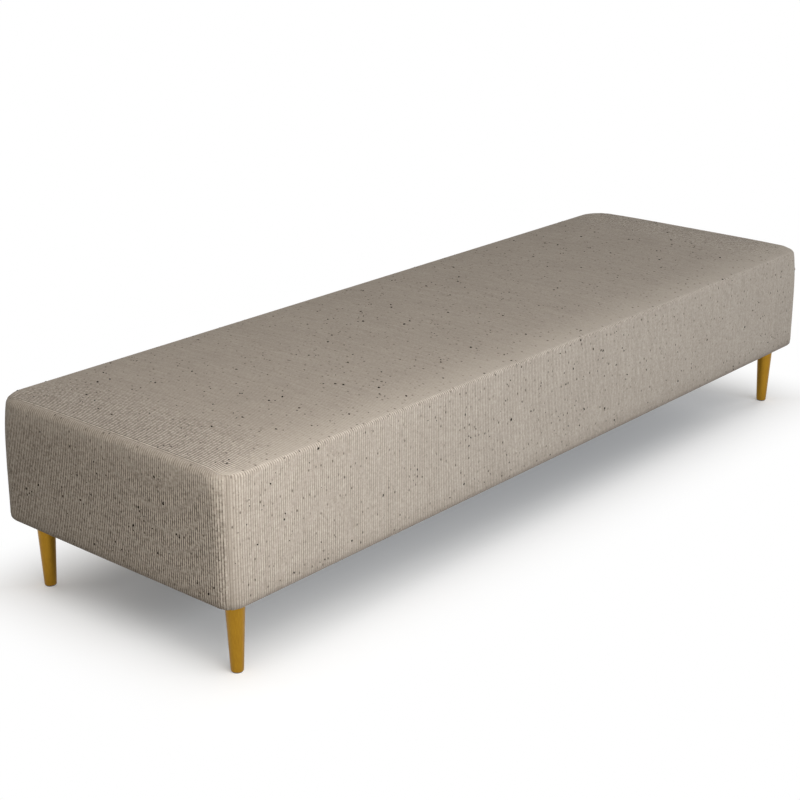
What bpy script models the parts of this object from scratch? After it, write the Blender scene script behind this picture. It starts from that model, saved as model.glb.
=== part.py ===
"""Upholstered box bench on four tapered legs.

The bench stands on z = 0 with its middle over the origin. Its length runs along X, its width along Y
and the front is at -Y. All sizes are in metres.
"""
import math

import bmesh
import bpy
from mathutils import Matrix, Vector

# Overall sizes
BENCH_LENGTH = 2.000
BENCH_WIDTH = 0.635
BENCH_HEIGHT = 0.410
UNDERSIDE_HEIGHT = 0.150

# Outline of the upholstered box
TOP_EDGE_RADIUS = 0.012
BOTTOM_EDGE_RADIUS = 0.010
LOW_CORNER_RADIUS = 0.036
HIGH_CORNER_RADIUS = 0.060
SIDE_TAPER = 0.001
CROWN_RISE = 0.009

# Layers, from the outside in
FABRIC_THICKNESS = 0.0015
WADDING_THICKNESS = 0.006
SIDE_PAD_THICKNESS = 0.012
SEAT_FOAM_THICKNESS = 0.070
DUST_COVER_THICKNESS = 0.0008
DUST_COVER_INSET = 0.016
DUST_COVER_CORNER_RADIUS = 0.020

# Plywood frame
PLY_THICKNESS = 0.018
DECK_THICKNESS = 0.012
HOUSING_DEPTH = 0.006
RIB_FLOOR_CLEARANCE = 0.026
FINGER_COUNT = 7
RIB_COUNT = 3
VENT_RADIUS = 0.014
VENT_ROWS = 2
VENTS_PER_BAY = 2

# Corner blocks and their screws
BLOCK_SIDE = 0.070
BLOCK_HEIGHT = 0.045
BLOCK_CHAMFER = 0.022
SCREW_RADIUS = 0.002
SCREW_HEAD_RADIUS = 0.004
SCREW_HEAD_HEIGHT = 0.0025
SCREW_TIP_LENGTH = 0.004
BLOCK_SCREW_LENGTH = 0.040
BLOCK_SCREW_EDGE = 0.022
DECK_SCREW_LENGTH = 0.030
DECK_SCREW_SPREAD = 0.300

# Legs
LEG_TOP_RADIUS = 0.019
LEG_FOOT_RADIUS = 0.012
LEG_WALL = 0.002
LEG_HEAD_DEPTH = 0.024
LEG_EDGE = 0.0012
LEG_END_INSET = 0.060
LEG_SIDE_INSET = 0.052
GLIDE_RADIUS = 0.0105
GLIDE_PROUD = 0.0018
GLIDE_STEM_LENGTH = 0.012
GLIDE_EDGE = 0.0006
STUD_RADIUS = 0.004
STUD_LENGTH = 0.070
STUD_IN_LEG = 0.018
STUD_CHAMFER = 0.0008
TEE_NUT_FLANGE_RADIUS = 0.0095
TEE_NUT_FLANGE_THICKNESS = 0.0015
TEE_NUT_BARREL_RADIUS = 0.005
TEE_NUT_BARREL_LENGTH = 0.011

# Clearances
FIT_GAP = 0.0003
CUT_OVERRUN = 0.010

# Shares and powers that shape the form
CORNER_BAND_SHARE = 0.2
TUCK_SHARE = 0.9
CORNER_GROWTH_POWER = 5
CROWN_LENGTH_POWER = 8
CROWN_WIDTH_POWER = 4
CROWN_END_SHARE = 0.55
SETTLE_POWER = 2
ARC_STEPS = 3
EDGE_STEPS = 2
ROUND_SEGMENTS = 24
SMALL_ROUND_SEGMENTS = 12
SAME_LINE_SHARE = 0.001
LENGTH_LINE_SHARES = (0.0, 0.5, 0.85)
WIDTH_LINE_SHARES = (0.0, 0.4, 0.75)

# Places worked out from the sizes above
HALF_LENGTH = BENCH_LENGTH / 2
HALF_WIDTH = BENCH_WIDTH / 2
COVER_BOTTOM = UNDERSIDE_HEIGHT
FLAT_TOP = BENCH_HEIGHT - CROWN_RISE
WADDING_INSET = FABRIC_THICKNESS + FIT_GAP
FOAM_INSET = WADDING_INSET + WADDING_THICKNESS + FIT_GAP
FRAME_INSET = SIDE_TAPER + FOAM_INSET + SIDE_PAD_THICKNESS + FIT_GAP
FRAME_CORNER_RADIUS = LOW_CORNER_RADIUS - FRAME_INSET
FRAME_HALF_LENGTH = HALF_LENGTH - FRAME_INSET
FRAME_HALF_WIDTH = HALF_WIDTH - FRAME_INSET
FRAME_BOTTOM = COVER_BOTTOM + FABRIC_THICKNESS + FIT_GAP
DECK_TOP = BENCH_HEIGHT - FOAM_INSET - SEAT_FOAM_THICKNESS - FIT_GAP
FRAME_TOP = DECK_TOP - DECK_THICKNESS - FIT_GAP
DUST_COVER_TOP = COVER_BOTTOM - FIT_GAP
DUST_COVER_BOTTOM = DUST_COVER_TOP - DUST_COVER_THICKNESS
LEG_TOP = DUST_COVER_BOTTOM - FIT_GAP
LEG_FOOT = GLIDE_PROUD + FIT_GAP
LEG_X = HALF_LENGTH - LEG_END_INSET
LEG_Y = HALF_WIDTH - LEG_SIDE_INSET
RIB_BOTTOM = FRAME_BOTTOM + RIB_FLOOR_CLEARANCE
BLOCK_TOP = FRAME_BOTTOM + BLOCK_HEIGHT
STUD_HOLE_RADIUS = STUD_RADIUS + FIT_GAP

FABRIC_GREY = (0.456, 0.407, 0.342)
DUST_BLACK = (0.02, 0.02, 0.02)
BRASS = (0.445, 0.255, 0.065)
STEEL = (0.55, 0.55, 0.56)
PLYWOOD = (0.66, 0.50, 0.32)
PINE = (0.72, 0.55, 0.34)
FOAM_CREAM = (0.80, 0.76, 0.62)
WADDING_WHITE = (0.88, 0.88, 0.86)
GLIDE_GREY = (0.10, 0.10, 0.10)


def clear_scene():
    for item in list(bpy.data.objects):
        bpy.data.objects.remove(item, do_unlink=True)


def finish(item, colour, roughness, metallic=0.0):
    """Gives a piece its own material."""
    surface = bpy.data.materials.new(item.name + "_finish")
    surface.use_nodes = True
    shader = surface.node_tree.nodes["Principled BSDF"]
    shader.inputs["Base Color"].default_value = (*colour, 1.0)
    shader.inputs["Roughness"].default_value = roughness
    shader.inputs["Metallic"].default_value = metallic
    item.data.materials.clear()
    item.data.materials.append(surface)
    return item


def new_object(name, bm):
    """Puts a bmesh into the scene as an object."""
    bmesh.ops.recalc_face_normals(bm, faces=bm.faces)
    mesh = bpy.data.meshes.new(name)
    bm.to_mesh(mesh)
    bm.free()
    item = bpy.data.objects.new(name, mesh)
    bpy.context.scene.collection.objects.link(item)
    return item


def block(name, low, high):
    """A plain block between two opposite corners."""
    bm = bmesh.new()
    bmesh.ops.create_cube(bm, size=1)
    low, high = Vector(low), Vector(high)
    bmesh.ops.scale(bm, vec=high - low, verts=bm.verts)
    bmesh.ops.translate(bm, vec=(low + high) / 2, verts=bm.verts)
    return new_object(name, bm)


def slab(name, outline, low_z, high_z):
    """An outline of (x, y) points extruded upwards."""
    bm = bmesh.new()
    face = bm.faces.new([bm.verts.new((x, y, low_z)) for x, y in outline])
    rise = bmesh.ops.extrude_face_region(bm, geom=[face])
    top = [part for part in rise["geom"] if isinstance(part, bmesh.types.BMVert)]
    bmesh.ops.translate(bm, vec=(0, 0, high_z - low_z), verts=top)
    return new_object(name, bm)


def rounded_slab(name, half_x, half_y, radius, low_z, high_z):
    """A flat board round the middle of the bench, with rounded corners."""
    outline = []
    for corner, (side_x, side_y) in enumerate(((1, 1), (-1, 1), (-1, -1), (1, -1))):
        for step in range(ARC_STEPS + 1):
            angle = math.radians(90) * (corner + step / ARC_STEPS)
            outline.append((side_x * (half_x - radius) + radius * math.cos(angle),
                            side_y * (half_y - radius) + radius * math.sin(angle)))
    return slab(name, outline, low_z, high_z)


def turned(name, profile, segments, place=(0, 0, 0), axis=(0, 0, 1)):
    """A profile of (radius, height) points turned round an axis through place.

    A profile that starts and ends on the axis gives a solid piece, any other one is closed on itself
    and gives a piece with a hole through it.
    """
    bm = bmesh.new()
    points = [bm.verts.new((radius, 0, height)) for radius, height in profile]
    edges = [bm.edges.new(pair) for pair in zip(points, points[1:])]
    if profile[0][0] > 0:
        edges.append(bm.edges.new((points[-1], points[0])))
    bmesh.ops.spin(bm, geom=points + edges, cent=(0, 0, 0), axis=(0, 0, 1), angle=math.tau,
                   steps=segments, use_merge=True)
    bmesh.ops.remove_doubles(bm, verts=bm.verts, dist=FIT_GAP / ROUND_SEGMENTS)
    item = new_object(name, bm)
    item.data.shade_smooth()
    item.data.set_sharp_from_angle(angle=math.radians(30))
    item.location = place
    item.rotation_euler = Vector(axis).to_track_quat("Z", "Y").to_euler()
    bpy.context.view_layer.update()
    return item


def combine(item, cutter, operation="DIFFERENCE"):
    """Cuts or trims a piece with another one, which is then deleted."""
    change = item.modifiers.new(operation.title(), "BOOLEAN")
    change.operation = operation
    change.object = cutter
    graph = bpy.context.evaluated_depsgraph_get()
    mesh = bpy.data.meshes.new_from_object(item.evaluated_get(graph))
    item.modifiers.clear()
    item.data = mesh
    bpy.data.objects.remove(cutter, do_unlink=True)
    return item


def corner_radius(z):
    """The upright corners grow rounder towards the top."""
    rise = (z - COVER_BOTTOM) / (FLAT_TOP - COVER_BOTTOM)
    growth = (HIGH_CORNER_RADIUS - LOW_CORNER_RADIUS) * max(rise, 0) ** CORNER_GROWTH_POWER
    return LOW_CORNER_RADIUS + growth


def side_draw(z):
    """The sides lean in towards the top."""
    return SIDE_TAPER * (z - COVER_BOTTOM) / (FLAT_TOP - COVER_BOTTOM)


def run_out(unit, half, radius):
    """Distance from the middle for a unit from 0 to 1, whose last band covers the corner."""
    straight = 1 - CORNER_BAND_SHARE
    if abs(unit) <= straight:
        run = abs(unit) / straight * (half - radius)
    else:
        run = half - radius + (abs(unit) - straight) / CORNER_BAND_SHARE * radius
    return math.copysign(run, unit)


def rounded_edge(inward, down, radius):
    """Carries a point near a square edge onto the arc that rounds it."""
    if inward >= radius or down >= radius:
        return inward, down
    across, along = radius - inward, radius - down
    stretch = radius / math.hypot(across, along)
    return radius - across * stretch, radius - along * stretch


def formed_point(unit, inset):
    """Carries a point of the unit cube onto the rounded box that lies inset inside the cover."""
    low, high = COVER_BOTTOM + inset, FLAT_TOP - inset
    cover_edge = TOP_EDGE_RADIUS if unit.z > 0 else BOTTOM_EDGE_RADIUS
    edge = cover_edge - inset
    cover_z = (low + high) / 2 + run_out(unit.z, (FLAT_TOP - COVER_BOTTOM) / 2, cover_edge)
    z = (low + high) / 2 + run_out(unit.z, (high - low) / 2, edge)
    radius = corner_radius(cover_z) - inset
    half_x = HALF_LENGTH - inset - side_draw(cover_z)
    half_y = HALF_WIDTH - inset - side_draw(cover_z)
    x = run_out(unit.x, half_x, radius)
    y = run_out(unit.y, half_y, radius)
    inward = min(half_x - abs(x), half_y - abs(y))
    down = min(high - z, z - low)
    in_arc, down_arc = rounded_edge(inward, down, edge)
    z = high - down_arc if unit.z > 0 else low + down_arc
    from_x, from_y = abs(x) - half_x + radius, abs(y) - half_y + radius
    if from_x > 0 and from_y > 0:
        stretch = (radius - in_arc) / math.hypot(from_x, from_y)
        x = math.copysign(half_x - radius + from_x * stretch, x)
        y = math.copysign(half_y - radius + from_y * stretch, y)
    elif from_x > from_y and in_arc < edge:
        x = math.copysign(half_x - in_arc, x)
    elif in_arc < edge:
        y = math.copysign(half_y - in_arc, y)
    return Vector((x, y, z))


def tuck_line():
    """Where the lower edge of the wadding lies on the grid, under the side pads."""
    depth_share = TUCK_SHARE * SIDE_PAD_THICKNESS / (LOW_CORNER_RADIUS - FOAM_INSET)
    return 1 - CORNER_BAND_SHARE * depth_share


def form_grid(edged):
    """The unit cube with loop cuts that lie close where the form curves.

    Only an edged grid has the cuts that round the top edges finely. Each square is split along the
    diagonal that points to the nearest corner of the cube.
    """
    straight = 1 - CORNER_BAND_SHARE
    middle = (COVER_BOTTOM + FLAT_TOP) / 2
    arc = [straight + CORNER_BAND_SHARE * math.tan(math.radians(45) * step / ARC_STEPS)
           for step in range(ARC_STEPS)]
    edge_share = TOP_EDGE_RADIUS / HIGH_CORNER_RADIUS
    edge = [1 - CORNER_BAND_SHARE * edge_share * (1 - math.tan(math.radians(45) * step / EDGE_STEPS))
            for step in range(EDGE_STEPS if edged else 0)]
    deck = (DECK_TOP - middle) / (FLAT_TOP - TOP_EDGE_RADIUS - middle)
    corner = [*arc[:-1], tuck_line(), *edge]
    lines_x = corner + [share * straight for share in LENGTH_LINE_SHARES]
    lines_y = corner + [share * straight for share in WIDTH_LINE_SHARES]
    lines_z = arc + [-line for line in arc] + [0.0, deck * straight, (1 + deck) / 2 * straight]
    bm = bmesh.new()
    bmesh.ops.create_cube(bm, size=2)
    for axis, lines in enumerate((lines_x + [-line for line in lines_x],
                                  lines_y + [-line for line in lines_y], lines_z)):
        normal = Matrix.Identity(3)[axis]
        for line in sorted(set(lines)):
            everything = bm.verts[:] + bm.edges[:] + bm.faces[:]
            bmesh.ops.bisect_plane(bm, geom=everything, plane_co=normal * line, plane_no=normal)
    for face in bm.faces[:]:
        order = sorted(face.verts, key=lambda vert: sum(abs(part) for part in vert.co))
        bmesh.utils.face_split(face, order[0], order[-1])
    return bm


def upholstered_form(name, inset):
    """The rounded box as a solid. The crown comes later."""
    bm = form_grid(False)
    for vert in bm.verts:
        vert.co = formed_point(vert.co, inset)
    return new_object(name, bm)


def layer(name, outer_inset, inner_inset, wanted, edged=False, pulled=None):
    """A skin between two depths of the form, of the grid faces that are wanted.

    Pulled, if given, says how far a grid point is drawn back from a seam.
    """
    bm = form_grid(edged)
    spare = [face for face in bm.faces if not wanted(face.calc_center_median(), face.normal)]
    bmesh.ops.delete(bm, geom=spare, context="FACES")
    inner = bm.verts[:]
    raised = bmesh.ops.extrude_face_region(bm, geom=bm.faces[:], use_keep_orig=True)
    outer = [part for part in raised["geom"] if isinstance(part, bmesh.types.BMVert)]
    for verts, inset in ((inner, inner_inset), (outer, outer_inset)):
        for vert in verts:
            draw = pulled(vert.co) if pulled else Vector()
            vert.co = formed_point(vert.co, inset) + draw
    return new_object(name, bm)


def settle(item):
    """Puts the crown on the seat, lower at its ends. The deck and all below stay flat."""
    crown_x = HALF_LENGTH - SIDE_TAPER - TOP_EDGE_RADIUS
    crown_y = HALF_WIDTH - SIDE_TAPER - TOP_EDGE_RADIUS
    for vert in item.data.vertices:
        x, y, z = abs(vert.co.x), abs(vert.co.y), vert.co.z
        share = min(max((z - DECK_TOP) / (FLAT_TOP - DECK_TOP), 0), 1) ** SETTLE_POWER
        crown = ((1 - (1 - CROWN_END_SHARE) * min(x / crown_x, 1) ** CROWN_LENGTH_POWER)
                 * (1 - min(y / crown_y, 1) ** CROWN_WIDTH_POWER))
        vert.co.z += share * CROWN_RISE * crown
    return item


def make_cover():
    """Three sewn panels: the main one over the front, top and rear, and one for each end.

    The seams run down the upright corners and along the top end edges, where the grid's cube has its
    edges. Below, each panel folds under the frame, with the folds mitred at the corners.
    """
    straight = 1 - CORNER_BAND_SHARE

    def on_end(centre, normal, side):
        if normal.z < -0.5:
            return max(abs(centre.x), abs(centre.y)) > straight and centre.x * side > abs(centre.y)
        return normal.x * side > 0.5

    def on_main(centre, normal):
        under = normal.z < -0.5 and abs(centre.y) > straight and abs(centre.y) > abs(centre.x)
        return under or abs(normal.y) > 0.5 or normal.z > 0.5

    def drawn_back(unit, side):
        draw = Vector()
        step = FIT_GAP / math.sqrt(2)
        if math.isclose(abs(unit.x), abs(unit.y), rel_tol=SAME_LINE_SHARE):
            draw += Vector((side * step, -math.copysign(step, unit.y), 0))
        if math.isclose(unit.z, 1, rel_tol=SAME_LINE_SHARE):
            draw += Vector((side * step, 0, -step))
        return draw

    panels = [layer("cover_main_panel", 0, FABRIC_THICKNESS, on_main, True)]
    for name, side in (("left", -1), ("right", 1)):
        panels.append(layer(f"cover_{name}_panel", 0, FABRIC_THICKNESS,
                            lambda centre, normal, side=side: on_end(centre, normal, side), True,
                            lambda unit, side=side: drawn_back(unit, side)))
    for panel in panels:
        panel.data.shade_smooth()
        finish(settle(panel), FABRIC_GREY, 0.95)


def make_wadding():
    """One wrap of wadding over the top and sides, its lower edge tucked under the side pads."""

    def wanted(centre, normal):
        return normal.z > -0.5 or max(abs(centre.x), abs(centre.y)) > tuck_line()

    wrap = layer("wadding_wrap", WADDING_INSET, WADDING_INSET + WADDING_THICKNESS, wanted)
    finish(settle(wrap), WADDING_WHITE, 1.0)


def make_foam():
    """The seat slab on the deck, and a thin pad glued to each side of the frame."""
    outer_x, outer_y = HALF_LENGTH + CUT_OVERRUN, HALF_WIDTH + CUT_OVERRUN
    below = block("below", (-outer_x, -outer_y, COVER_BOTTOM), (outer_x, outer_y, DECK_TOP + FIT_GAP))
    seat = combine(upholstered_form("seat_foam", FOAM_INSET), below)
    finish(settle(seat), FOAM_CREAM, 1.0)
    for name, along_x, side in (("front", True, -1), ("rear", True, 1), ("left", False, -1),
                                ("right", False, 1)):
        above = block("above", (-outer_x, -outer_y, DECK_TOP), (outer_x, outer_y, BENCH_HEIGHT))
        pad = combine(upholstered_form(f"side_pad_{name}", FOAM_INSET), above)
        combine(pad, frame_outline(FIT_GAP))
        combine(pad, mitred_region(along_x, side), "INTERSECT")
        finish(pad, FOAM_CREAM, 1.0)


def mitred_region(along_x, side):
    """The plan region of one side, bounded by 45 degree lines from the corners."""
    shift = FIT_GAP / math.sqrt(2)
    depth = HALF_WIDTH / 2
    if along_x:
        near, far = HALF_WIDTH + CUT_OVERRUN, HALF_WIDTH - depth
        wide, narrow = HALF_LENGTH + CUT_OVERRUN - shift, HALF_LENGTH - depth - shift
        outline = [(-wide, side * near), (wide, side * near), (narrow, side * far), (-narrow, side * far)]
    else:
        near, far = HALF_LENGTH + CUT_OVERRUN, HALF_LENGTH - depth
        wide, narrow = HALF_WIDTH + CUT_OVERRUN - shift, HALF_WIDTH - depth - shift
        outline = [(side * near, -wide), (side * near, wide), (side * far, narrow), (side * far, -narrow)]
    return slab("region", outline, COVER_BOTTOM - CUT_OVERRUN, BENCH_HEIGHT)


def make_dust_cover():
    """Thin black sheet stapled under the frame, with a hole for each leg stud."""
    sheet = rounded_slab("dust_cover", HALF_LENGTH - DUST_COVER_INSET, HALF_WIDTH - DUST_COVER_INSET,
                         DUST_COVER_CORNER_RADIUS, DUST_COVER_BOTTOM, DUST_COVER_TOP)
    for name, side_x, side_y in corners():
        combine(sheet, stud_hole(side_x, side_y))
    finish(sheet, DUST_BLACK, 0.95)


def corners():
    """Names and signs of the four corners."""
    return [(f"{end}_{name}", side_x, side_y) for end, side_y in (("front", -1), ("rear", 1))
            for name, side_x in (("left", -1), ("right", 1))]


def stud_hole(side_x, side_y, radius=STUD_HOLE_RADIUS):
    """A cutter for what the leg stud passes through."""
    depth = BLOCK_TOP + CUT_OVERRUN - LEG_TOP
    return turned("hole", [(0, 0), (radius, 0), (radius, depth), (0, depth)], SMALL_ROUND_SEGMENTS,
                  (side_x * LEG_X, side_y * LEG_Y, LEG_TOP))


def screw(name, length, place, axis, clearance=0.0):
    """Countersunk screw. Its head faces back along the axis from place. Clearance makes it a cutter."""
    extra = CUT_OVERRUN if clearance else 0
    shank, head = SCREW_RADIUS + clearance, SCREW_HEAD_RADIUS + clearance
    profile = [(0, -extra), (head, -extra), (head, clearance), (shank, SCREW_HEAD_HEIGHT + clearance),
               (shank, length - SCREW_TIP_LENGTH + clearance), (0, length + clearance)]
    if not clearance:
        profile.pop(2)
    return turned(name, profile, SMALL_ROUND_SEGMENTS, place, axis)


def block_screws():
    """Places and directions of the two screws of each corner block, through the panels."""
    near_x = FRAME_HALF_LENGTH - PLY_THICKNESS - FIT_GAP - BLOCK_SIDE + BLOCK_SCREW_EDGE
    near_y = FRAME_HALF_WIDTH - PLY_THICKNESS - FIT_GAP - BLOCK_SIDE + BLOCK_SCREW_EDGE
    middle = FRAME_BOTTOM + BLOCK_HEIGHT / 2
    found = []
    for name, side_x, side_y in corners():
        found.append((f"block_screw_{name}_long", name,
                      (side_x * near_x, side_y * FRAME_HALF_WIDTH, middle), (0, -side_y, 0)))
        found.append((f"block_screw_{name}_end", name,
                      (side_x * FRAME_HALF_LENGTH, side_y * near_y, middle), (-side_x, 0, 0)))
    return found


def rib_places():
    """The ribs divide the inside of the frame into equal bays."""
    inside = 2 * (FRAME_HALF_LENGTH - PLY_THICKNESS)
    bay = (inside - RIB_COUNT * PLY_THICKNESS) / (RIB_COUNT + 1)
    first = -inside / 2 + bay + PLY_THICKNESS / 2
    return [first + number * (bay + PLY_THICKNESS) for number in range(RIB_COUNT)]


def deck_screws():
    """Two screws into each rib and one into each end panel."""
    end = FRAME_HALF_LENGTH - PLY_THICKNESS / 2
    places = [(-end, 0)]
    places += [(x, side * DECK_SCREW_SPREAD / 2) for x in rib_places() for side in (-1, 1)]
    places.append((end, 0))
    return [(f"deck_screw_{number}", (x, y, DECK_TOP)) for number, (x, y) in enumerate(places, 1)]


def finger_slots(first):
    """Heights of every second finger of the corner joint, starting at the first or second one."""
    pitch = (FRAME_TOP - FRAME_BOTTOM) / FINGER_COUNT
    slots = []
    for number in range(first, FINGER_COUNT, 2):
        low = FRAME_BOTTOM + number * pitch - FIT_GAP / 2
        high = FRAME_BOTTOM + (number + 1) * pitch + FIT_GAP / 2
        if number == 0:
            low -= CUT_OVERRUN
        if number == FINGER_COUNT - 1:
            high += CUT_OVERRUN
        slots.append((low, high))
    return slots


def frame_outline(clearance=0.0):
    """The outside of the frame with its rounded corners, taller than the frame."""
    return rounded_slab("outline", FRAME_HALF_LENGTH + clearance, FRAME_HALF_WIDTH + clearance,
                        FRAME_CORNER_RADIUS + clearance, COVER_BOTTOM, BENCH_HEIGHT)


def make_long_panels():
    """Front and rear panels, with fingers at both ends and a housing for each rib."""
    inner = FRAME_HALF_WIDTH - PLY_THICKNESS
    for name, side in (("front", -1), ("rear", 1)):
        faces = sorted((side * inner, side * FRAME_HALF_WIDTH))
        panel = block(f"frame_{name}_panel", (-FRAME_HALF_LENGTH, faces[0], FRAME_BOTTOM),
                      (FRAME_HALF_LENGTH, faces[1], FRAME_TOP))
        start = FRAME_HALF_LENGTH - PLY_THICKNESS - FIT_GAP
        stop = FRAME_HALF_LENGTH + CUT_OVERRUN
        for low, high in finger_slots(1):
            for end in (-1, 1):
                span = sorted((end * start, end * stop))
                combine(panel, block("slot", (span[0], faces[0] - CUT_OVERRUN, low),
                                     (span[1], faces[1] + CUT_OVERRUN, high)))
        half_rib = PLY_THICKNESS / 2 + FIT_GAP
        groove = sorted((side * (inner - CUT_OVERRUN), side * (inner + HOUSING_DEPTH)))
        for x in rib_places():
            combine(panel, block("housing", (x - half_rib, groove[0], RIB_BOTTOM - FIT_GAP),
                                 (x + half_rib, groove[1], FRAME_TOP + CUT_OVERRUN)))
        for label, corner, place, axis in block_screws():
            if corner.startswith(name) and label.endswith("long"):
                combine(panel, screw("pilot", BLOCK_SCREW_LENGTH, place, axis, FIT_GAP))
        combine(panel, frame_outline(), "INTERSECT")
        finish(panel, PLYWOOD, 0.7)


def make_end_panels():
    """Left and right panels, whose fingers fill the slots of the long panels."""
    inner = FRAME_HALF_LENGTH - PLY_THICKNESS
    for name, side in (("left", -1), ("right", 1)):
        faces = sorted((side * inner, side * FRAME_HALF_LENGTH))
        panel = block(f"frame_{name}_panel", (faces[0], -FRAME_HALF_WIDTH, FRAME_BOTTOM),
                      (faces[1], FRAME_HALF_WIDTH, FRAME_TOP))
        start = FRAME_HALF_WIDTH - PLY_THICKNESS - FIT_GAP
        stop = FRAME_HALF_WIDTH + CUT_OVERRUN
        for low, high in finger_slots(0):
            for end in (-1, 1):
                span = sorted((end * start, end * stop))
                combine(panel, block("slot", (faces[0] - CUT_OVERRUN, span[0], low),
                                     (faces[1] + CUT_OVERRUN, span[1], high)))
        for label, corner, place, axis in block_screws():
            if corner.endswith(name) and label.endswith("end"):
                combine(panel, screw("pilot", BLOCK_SCREW_LENGTH, place, axis, FIT_GAP))
        for label, place in deck_screws():
            if math.isclose(place[0], side * (inner + PLY_THICKNESS / 2)):
                combine(panel, screw("pilot", DECK_SCREW_LENGTH, place, (0, 0, -1), FIT_GAP))
        combine(panel, frame_outline(), "INTERSECT")
        finish(panel, PLYWOOD, 0.7)


def make_ribs():
    """Cross ribs under the deck, their ends in the housings of the long panels."""
    half_y = FRAME_HALF_WIDTH - PLY_THICKNESS + HOUSING_DEPTH - FIT_GAP
    for number, x in enumerate(rib_places(), 1):
        rib = block(f"cross_rib_{number}", (x - PLY_THICKNESS / 2, -half_y, RIB_BOTTOM),
                    (x + PLY_THICKNESS / 2, half_y, FRAME_TOP))
        for label, place in deck_screws():
            if math.isclose(place[0], x, abs_tol=FIT_GAP):
                combine(rib, screw("pilot", DECK_SCREW_LENGTH, place, (0, 0, -1), FIT_GAP))
        finish(rib, PLYWOOD, 0.7)


def make_deck():
    """Seat deck with rows of vent holes between the ribs, so that the foam can breathe."""
    deck = rounded_slab("seat_deck", FRAME_HALF_LENGTH, FRAME_HALF_WIDTH, FRAME_CORNER_RADIUS,
                        DECK_TOP - DECK_THICKNESS, DECK_TOP)
    ribs = rib_places()
    bay = ribs[1] - ribs[0]
    first = ribs[0] - bay + bay / (2 * VENTS_PER_BAY)
    depth = DECK_THICKNESS + 2 * CUT_OVERRUN
    for column in range((RIB_COUNT + 1) * VENTS_PER_BAY):
        for row in range(VENT_ROWS):
            x = first + column * bay / VENTS_PER_BAY
            y = (2 * (row + 0.5) / VENT_ROWS - 1) * FRAME_HALF_WIDTH
            profile = [(0, 0), (VENT_RADIUS, 0), (VENT_RADIUS, depth), (0, depth)]
            combine(deck, turned("vent", profile, SMALL_ROUND_SEGMENTS,
                                 (x, y, DECK_TOP - DECK_THICKNESS - CUT_OVERRUN)))
    for label, place in deck_screws():
        combine(deck, screw("pilot", DECK_SCREW_LENGTH, place, (0, 0, -1), FIT_GAP))
    finish(deck, PLYWOOD, 0.7)


def make_corner_blocks():
    """Solid blocks in the frame's corners, bored for the tee nuts that hold the legs."""
    outer_x = FRAME_HALF_LENGTH - PLY_THICKNESS - FIT_GAP
    outer_y = FRAME_HALF_WIDTH - PLY_THICKNESS - FIT_GAP
    for name, side_x, side_y in corners():
        inner_x, inner_y = outer_x - BLOCK_SIDE, outer_y - BLOCK_SIDE
        outline = [(outer_x, outer_y), (inner_x, outer_y), (inner_x, inner_y + BLOCK_CHAMFER),
                   (inner_x + BLOCK_CHAMFER, inner_y), (outer_x, inner_y)]
        piece = slab(f"corner_block_{name}", [(side_x * x, side_y * y) for x, y in outline],
                     FRAME_BOTTOM, BLOCK_TOP)
        combine(piece, stud_hole(side_x, side_y, TEE_NUT_BARREL_RADIUS + FIT_GAP))
        for label, corner, place, axis in block_screws():
            if corner == name:
                combine(piece, screw("pilot", BLOCK_SCREW_LENGTH, place, axis, FIT_GAP))
        finish(piece, PINE, 0.75)


def make_screws():
    for label, corner, place, axis in block_screws():
        finish(screw(label, BLOCK_SCREW_LENGTH, place, axis), STEEL, 0.35, 1.0)
    for label, place in deck_screws():
        finish(screw(label, DECK_SCREW_LENGTH, place, (0, 0, -1)), STEEL, 0.35, 1.0)


def make_leg(name, place):
    """Tapered tube with a thick bored head and an open foot."""
    height = LEG_TOP - LEG_FOOT
    lean = (LEG_TOP_RADIUS - LEG_FOOT_RADIUS) / height
    cavity = height - LEG_HEAD_DEPTH
    foot_bore = LEG_FOOT_RADIUS - LEG_WALL
    profile = [(foot_bore, 0), (LEG_FOOT_RADIUS - LEG_EDGE, 0), (LEG_FOOT_RADIUS, LEG_EDGE),
               (LEG_TOP_RADIUS - LEG_EDGE * lean, height - LEG_EDGE), (LEG_TOP_RADIUS - LEG_EDGE, height),
               (STUD_HOLE_RADIUS, height), (STUD_HOLE_RADIUS, cavity), (foot_bore + cavity * lean, cavity)]
    leg = turned(f"leg_{name}", profile, ROUND_SEGMENTS, (*place, LEG_FOOT))
    finish(leg, BRASS, 0.35, 1.0)


def make_glide(name, place):
    """Nylon glide: a thin foot disc with a stem plugged into the open end of the leg."""
    stem = LEG_FOOT_RADIUS - LEG_WALL - FIT_GAP
    profile = [(0, 0), (GLIDE_RADIUS - GLIDE_EDGE, 0), (GLIDE_RADIUS, GLIDE_EDGE),
               (GLIDE_RADIUS, GLIDE_PROUD),
               (stem, GLIDE_PROUD), (stem, GLIDE_PROUD + GLIDE_STEM_LENGTH),
               (0, GLIDE_PROUD + GLIDE_STEM_LENGTH)]
    finish(turned(f"foot_glide_{name}", profile, ROUND_SEGMENTS, (*place, 0)), GLIDE_GREY, 0.5)


def make_stud(name, place):
    profile = [(0, 0), (STUD_RADIUS - STUD_CHAMFER, 0), (STUD_RADIUS, STUD_CHAMFER),
               (STUD_RADIUS, STUD_LENGTH - STUD_CHAMFER), (STUD_RADIUS - STUD_CHAMFER, STUD_LENGTH),
               (0, STUD_LENGTH)]
    stud = turned(f"leg_stud_{name}", profile, SMALL_ROUND_SEGMENTS, (*place, LEG_TOP - STUD_IN_LEG))
    finish(stud, STEEL, 0.35, 1.0)


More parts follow.
